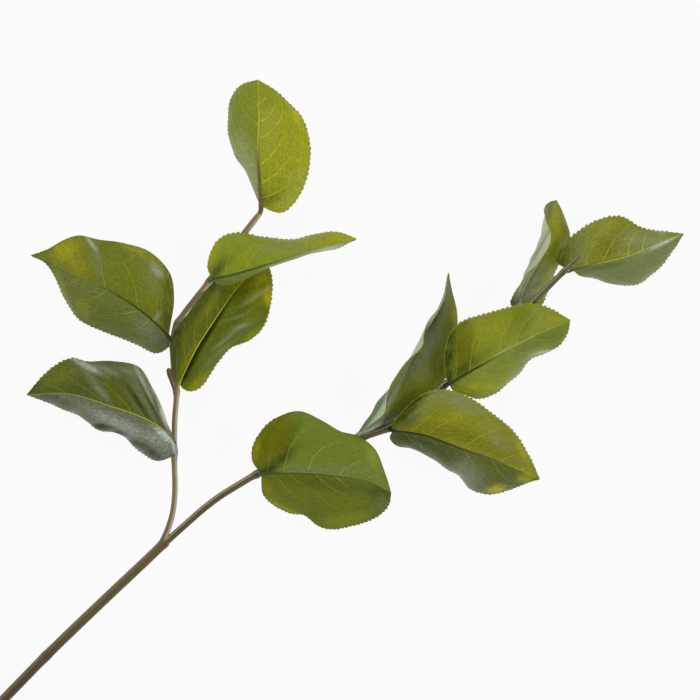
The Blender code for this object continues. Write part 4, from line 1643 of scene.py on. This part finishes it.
RIGHT_3 = Leaf(
    node="leaf_right_3",
    stalk=((388, 428.5, 22.5), (390, 429.5, 24.5)),
    midrib=((393, 430.5, 26.5), (422, 434.5, 29), (463, 449, 26.5), (500, 461.5, 19.5), (540, 479, 9)),
    left=(
        (392, 424, 28, 0), (401, 413.5, 29.5, 0), (412, 402, 31, 1), (426.5, 392.5, 32, 1),
        (446, 390, 32, 2), (471, 399, 30.5, 2), (492, 414, 27, 2), (512.5, 431, 21, 1), (529, 456, 14, 0),
    ),
    right=(
        (389.8, 437.5, 22, 0), (396, 445, 17, 1), (412, 449, 11, 2), (432, 458, 6, 3), (447, 469.5, 2.5, 4),
        (459, 475, 1.2, 4), (471, 489.5, 1, 4), (488, 494, 1, 3), (509, 490.5, 1.5, 2),
        (526, 483.5, 4.5, 1),
    ),
    finish=LeafFinish(
        left=(124, 128, 28), right=(84, 92, 38), rib=(112, 112, 28), stalk=(44, 50, 10), rib_turn=0.6,
        vein=(168, 170, 22), right_veins=0.4, left_veins=0.7, right_crease_shade=0.4, crease_shade_width=1.0,
    ),
    rolled=((Side.RIGHT, 0.0, 0.4),),
    left_veins=((0.1, 0.36), (0.22, 0.37), (0.45, 0.28), (0.61, 0.27), (0.71, 0.19), (0.86, 0.1)),
    right_veins=((0.05, 0.4), (0.22, 0.7), (0.46, 0.52), (0.66, 0.35), (0.82, 0.2)),
    patches=(
        Patches(Tone.YELLOW, None, ((526, 478, 9, 5, 0, 0.5),)),
        Patches(Tone.DARK, Side.LEFT, ((405, 403, 40, 11, 42, 1.1),), edge=2.0),
        Patches(Tone.DARK, Side.LEFT, ((403, 422, 22, 8, 30, 0.45),)),
        Patches(Tone.GREY, Side.LEFT, (
            (420, 409, 30, 8, 42, 0.28), (462, 402, 34, 9, -20, 0.4), (500, 442, 16, 7, -30, 0.2),
        )),
        Patches(Tone.OLIVE, Side.LEFT, (
            (432, 430, 46, 8, -10, 0.5), (480, 444, 34, 8, -25, 0.4), (510, 448, 26, 12, -50, 0.4),
        )),
        Patches(Tone.YELLOW, Side.LEFT, ((458, 415, 16, 7, 10, 0.15), (522, 450, 14, 4, -62, 0.4))),
        Patches(Tone.DARK, Side.RIGHT, ((420, 445, 44, 11, -18, 0.75),)),
        Patches(Tone.GREY, Side.RIGHT, ((466, 474, 18, 14, -50, 0.7),)),
        Patches(Tone.OLIVE, Side.RIGHT, ((482, 462, 14, 8, -30, 0.2), (432, 454, 26, 5, -26, 0.3))),
        Patches(Tone.YELLOW, Side.RIGHT, ((496, 489, 10, 4, 10, 0.8),)),
    ),
)

RIGHT_4 = Leaf(
    node="leaf_right_4",
    stalk=((442, 387, 24), (445, 385.5, 26)),
    midrib=((449, 383.5, 28), (471, 371, 30.5), (494, 358, 31.5), (529, 338, 28.5), (570, 320, 21.5)),
    left=(
        (445.5, 376, 29, 0), (444, 361, 30, 0), (446, 345, 31, 0), (452, 330, 32, 1), (464, 321, 32, 1),
        (485, 314.5, 32, 1), (508, 308, 31.5, 1), (530, 304, 31, 1), (547, 308, 28.5, 0), (561, 315, 25, 0),
    ),
    right=(
        (452, 389.5, 26.5, 0), (464, 394, 23.5, 1), (479, 398.5, 20, 2), (495, 392.5, 17, 2),
        (508, 383, 14.5, 3), (519, 372.5, 12.5, 3), (530, 360, 11.5, 3), (545, 352.5, 12.5, 2),
        (559, 345.5, 14.5, 1), (567.5, 332, 17.5, 0),
    ),
    finish=LeafFinish(
        left=(124, 135, 34), right=(121, 133, 46), rib=(162, 166, 60), stalk=(52, 58, 16), rib_turn=0.42,
        vein=(168, 172, 40), right_veins=0.35, line=0.5, net_share=0.6,
    ),
    rib_base_radius=0.75,
    tooth_depth=1.15,
    left_veins=((0.01, 0.35), (0.17, 0.38), (0.42, 0.3), (0.56, 0.3), (0.67, 0.28), (0.82, 0.15)),
    right_veins=((0.08, 0.3), (0.2, 0.45), (0.33, 0.45), (0.5, 0.4), (0.68, 0.3)),
    patches=(
        Patches(Tone.DARK, Side.LEFT, ((447, 358, 34, 8, 84, 0.85),), edge=2.0),
        Patches(Tone.DARK, Side.LEFT, (
            (456, 331, 16, 4, 48, 0.3), (466, 367, 28, 6, 35, 0.55), (520, 322, 18, 12, 90, 0.25),
        )),
        Patches(Tone.OLIVE, Side.LEFT, ((464, 350, 32, 11, 84, 0.95),), edge=2.0),
        Patches(Tone.PALE, Side.LEFT, ((500, 353, 15, 0.9, 33, 0.3),)),
        Patches(Tone.YELLOW, Side.LEFT, ((490, 330, 22, 12, 10, 0.15), (558, 320, 12, 4, -20, 0.25))),
        Patches(Tone.DARK, Side.RIGHT, (
            (460, 378.5, 16, 2.4, 33, 0.4), (538, 340, 40, 7, 28, 0.3), (556, 342, 10, 8, 60, 0.25),
        )),
        Patches(Tone.GREY, Side.RIGHT, ((520, 362, 16, 7, 45, 0.2),)),
        Patches(Tone.PALE, Side.RIGHT, ((541, 352, 12, 1.6, 12, 0.35),)),
        Patches(Tone.YELLOW, Side.RIGHT, ((467, 388, 16, 5, 12, 0.3), (484, 389, 28, 8, 20, 0.35))),
    ),
)

RIGHT_5 = Leaf(
    node="leaf_right_5",
    stalk=((519, 316, 25.8), (519, 311.5, 22.5)),
    midrib=(
        (519, 306.5, 20.5), (522.5, 294, 19), (530, 277, 19), (540, 260, 18.5), (547, 240, 17),
        (550, 219, 13), (557, 199.5, 4),
    ),
    left=(
        (511, 305, 22, 0), (514.5, 293, 26, 0), (520.5, 284, 29, -1), (528, 273, 32, -3),
        (539, 261.5, 34.5, -5), (547, 250.5, 35, -5.5), (550, 239, 33, -5), (549, 228, 29, -4),
        (545.5, 219, 24, -2), (544.5, 211, 18, 0), (549, 203, 11, 0),
    ),
    right=(
        (528, 308.5, 18, 0), (541.5, 304.5, 14, 0), (547, 293, 11, 1), (552.5, 279.5, 8, 2),
        (559, 263, 6, 2), (566, 248, 4, 2), (570, 235, 2.5, 1), (568, 224, 1.5, 1), (563, 211.5, 1.5, 0),
    ),
    finish=LeafFinish(
        left=(118, 126, 70), right=(132, 138, 36), rib=(150, 158, 60), stalk=(180, 190, 154), rib_turn=0.5,
        under=(184, 193, 152), line=0.6, right_veins=0.55, vein=(170, 176, 60),
        shine=0.09,
    ),
    rolled=((Side.RIGHT, 0.6, 1.0),),
    rib_base_radius=1.0,
    left_veins=((0.1, 0.3), (0.26, 0.32), (0.42, 0.3), (0.58, 0.25), (0.75, 0.2)),
    right_veins=((0.05, 0.33), (0.2, 0.33), (0.38, 0.3), (0.56, 0.3), (0.72, 0.25)),
    patches=(
        Patches(Tone.DARK, Side.LEFT, ((550, 213, 14, 4, 80, 0.3),)),
        Patches(Tone.PALE, Side.LEFT, ((524, 284, 24, 4, 65, 0.3),)),
        Patches(Tone.SHADE, Side.LEFT, ((541, 246, 26, 1.3, 62, 0.7), (530, 262, 30, 1.6, 62, 0.3))),
        Patches(Tone.DARK, Side.RIGHT, ((562, 262, 16, 4, 68, 0.45),)),
        Patches(Tone.GREY, Side.RIGHT, ((533, 289, 24, 11, 55, 0.6),)),
        Patches(Tone.OLIVE, Side.RIGHT, ((559, 263, 16, 7, 72, 0.5), (564, 228, 18, 4, -82, 0.5))),
        Patches(Tone.PALE, Side.RIGHT, ((531, 287, 22, 3, 60, 0.25),)),
        Patches(Tone.YELLOW, Side.RIGHT, ((560, 225, 24, 7, -77, 0.3), (552, 248, 26, 6, 68, 0.22))),
    ),
)

RIGHT_6 = Leaf(
    node="leaf_right_6",
    stalk=((564, 272, 27), (568, 272, 24.5)),
    midrib=((573, 270.3, 22.5), (599, 263, 22), (628.5, 256, 19), (661, 242.5, 13), (684, 233.5, 8)),
    left=(
        (565, 268, 21.5, 0), (556, 260.5, 20.5, 0), (560, 249.5, 20, 0), (573, 236, 20.5, 1),
        (598, 220.5, 21, 2), (621, 217, 19, 2), (643, 228.5, 16, 1), (668, 232, 10, 0),
    ),
    right=(
        (579, 275, 18, 0), (591, 277, 12, 1), (607, 281.5, 5.5, 2), (627, 285, 1.5, 3), (643, 281, 1.1, 3),
        (656, 271, 1, 2), (668, 258, 1.5, 1), (677, 245, 4, 0),
    ),
    finish=LeafFinish(
        left=(122, 128, 44), right=(110, 121, 70), vein=(172, 176, 58), rib=(184, 180, 34),
        stalk=(96, 104, 44), rib_turn=0.22, left_veins=0.9, right_veins=0.16, right_net=0.12,
    ),
    rib_base_radius=0.45,
    rib_tip_radius=0.12,
    tooth_depth=1.2,
    stalk_radius=0.7,
    left_veins=((0.02, 0.27), (0.12, 0.42), (0.27, 0.5), (0.48, 0.33), (0.61, 0.22), (0.78, 0.12)),
    patches=(
        Patches(Tone.DARK, Side.LEFT, ((563, 256, 20, 11, 80, 0.55), (634, 247, 15, 3.4, 12, 0.25))),
        Patches(Tone.GREY, Side.LEFT, ((648, 240, 32, 9, -5, 0.42), (580, 250, 20, 8, 75, 0.3))),
        Patches(Tone.OLIVE, Side.LEFT, ((611, 243, 26, 12, 60, 0.55),)),
        Patches(Tone.PALE, Side.LEFT, ((656, 229, 12, 2.5, -14, 0.45),)),
        Patches(Tone.YELLOW, Side.LEFT, ((608, 228, 16, 6, 40, 0.25),)),
        Patches(Tone.DARK, Side.RIGHT, ((602, 267, 26, 2.6, 12, 0.35),)),
        Patches(Tone.GREY, Side.RIGHT, ((650, 247, 26, 3, 25, 0.5),)),
        Patches(Tone.PALE, Side.RIGHT, ((670, 238.5, 20, 2.4, 30, 0.7),)),
    ),
)

LEAVES = (LEFT_1, LEFT_2, LEFT_3, LEFT_4, LEFT_5, RIGHT_1, RIGHT_2, RIGHT_3, RIGHT_4, RIGHT_5, RIGHT_6)

STUDIO = Studio(
    lights=(
        Softbox("softbox_right", -20.0, 36.0, 1.6, 1.2, 14.0, (255, 253, 250)),
        Softbox("softbox_top", 100.0, 44.0, 1.6, 1.2, 13.0, (255, 253, 250)),
        Softbox("softbox_bottom", 262.0, 24.0, 1.6, 1.4, 7.0, (246, 250, 255)),
        Softbox("softbox_left", 180.0, 28.0, 1.6, 1.2, 5.0, (250, 252, 255)),
    ),
)


def main() -> None:
    """Builds the branch and the studio round it."""
    logging.basicConfig(level=logging.INFO, format="%(name)s: %(message)s")
    for part in (STEM, *LEAVES):
        for piece in part.build():
            LOG.info("%s has %d faces", piece.name, len(piece.data.polygons))
    STUDIO.build()
    bpy.context.view_layer.update()


if __name__ == "__main__":
    main()
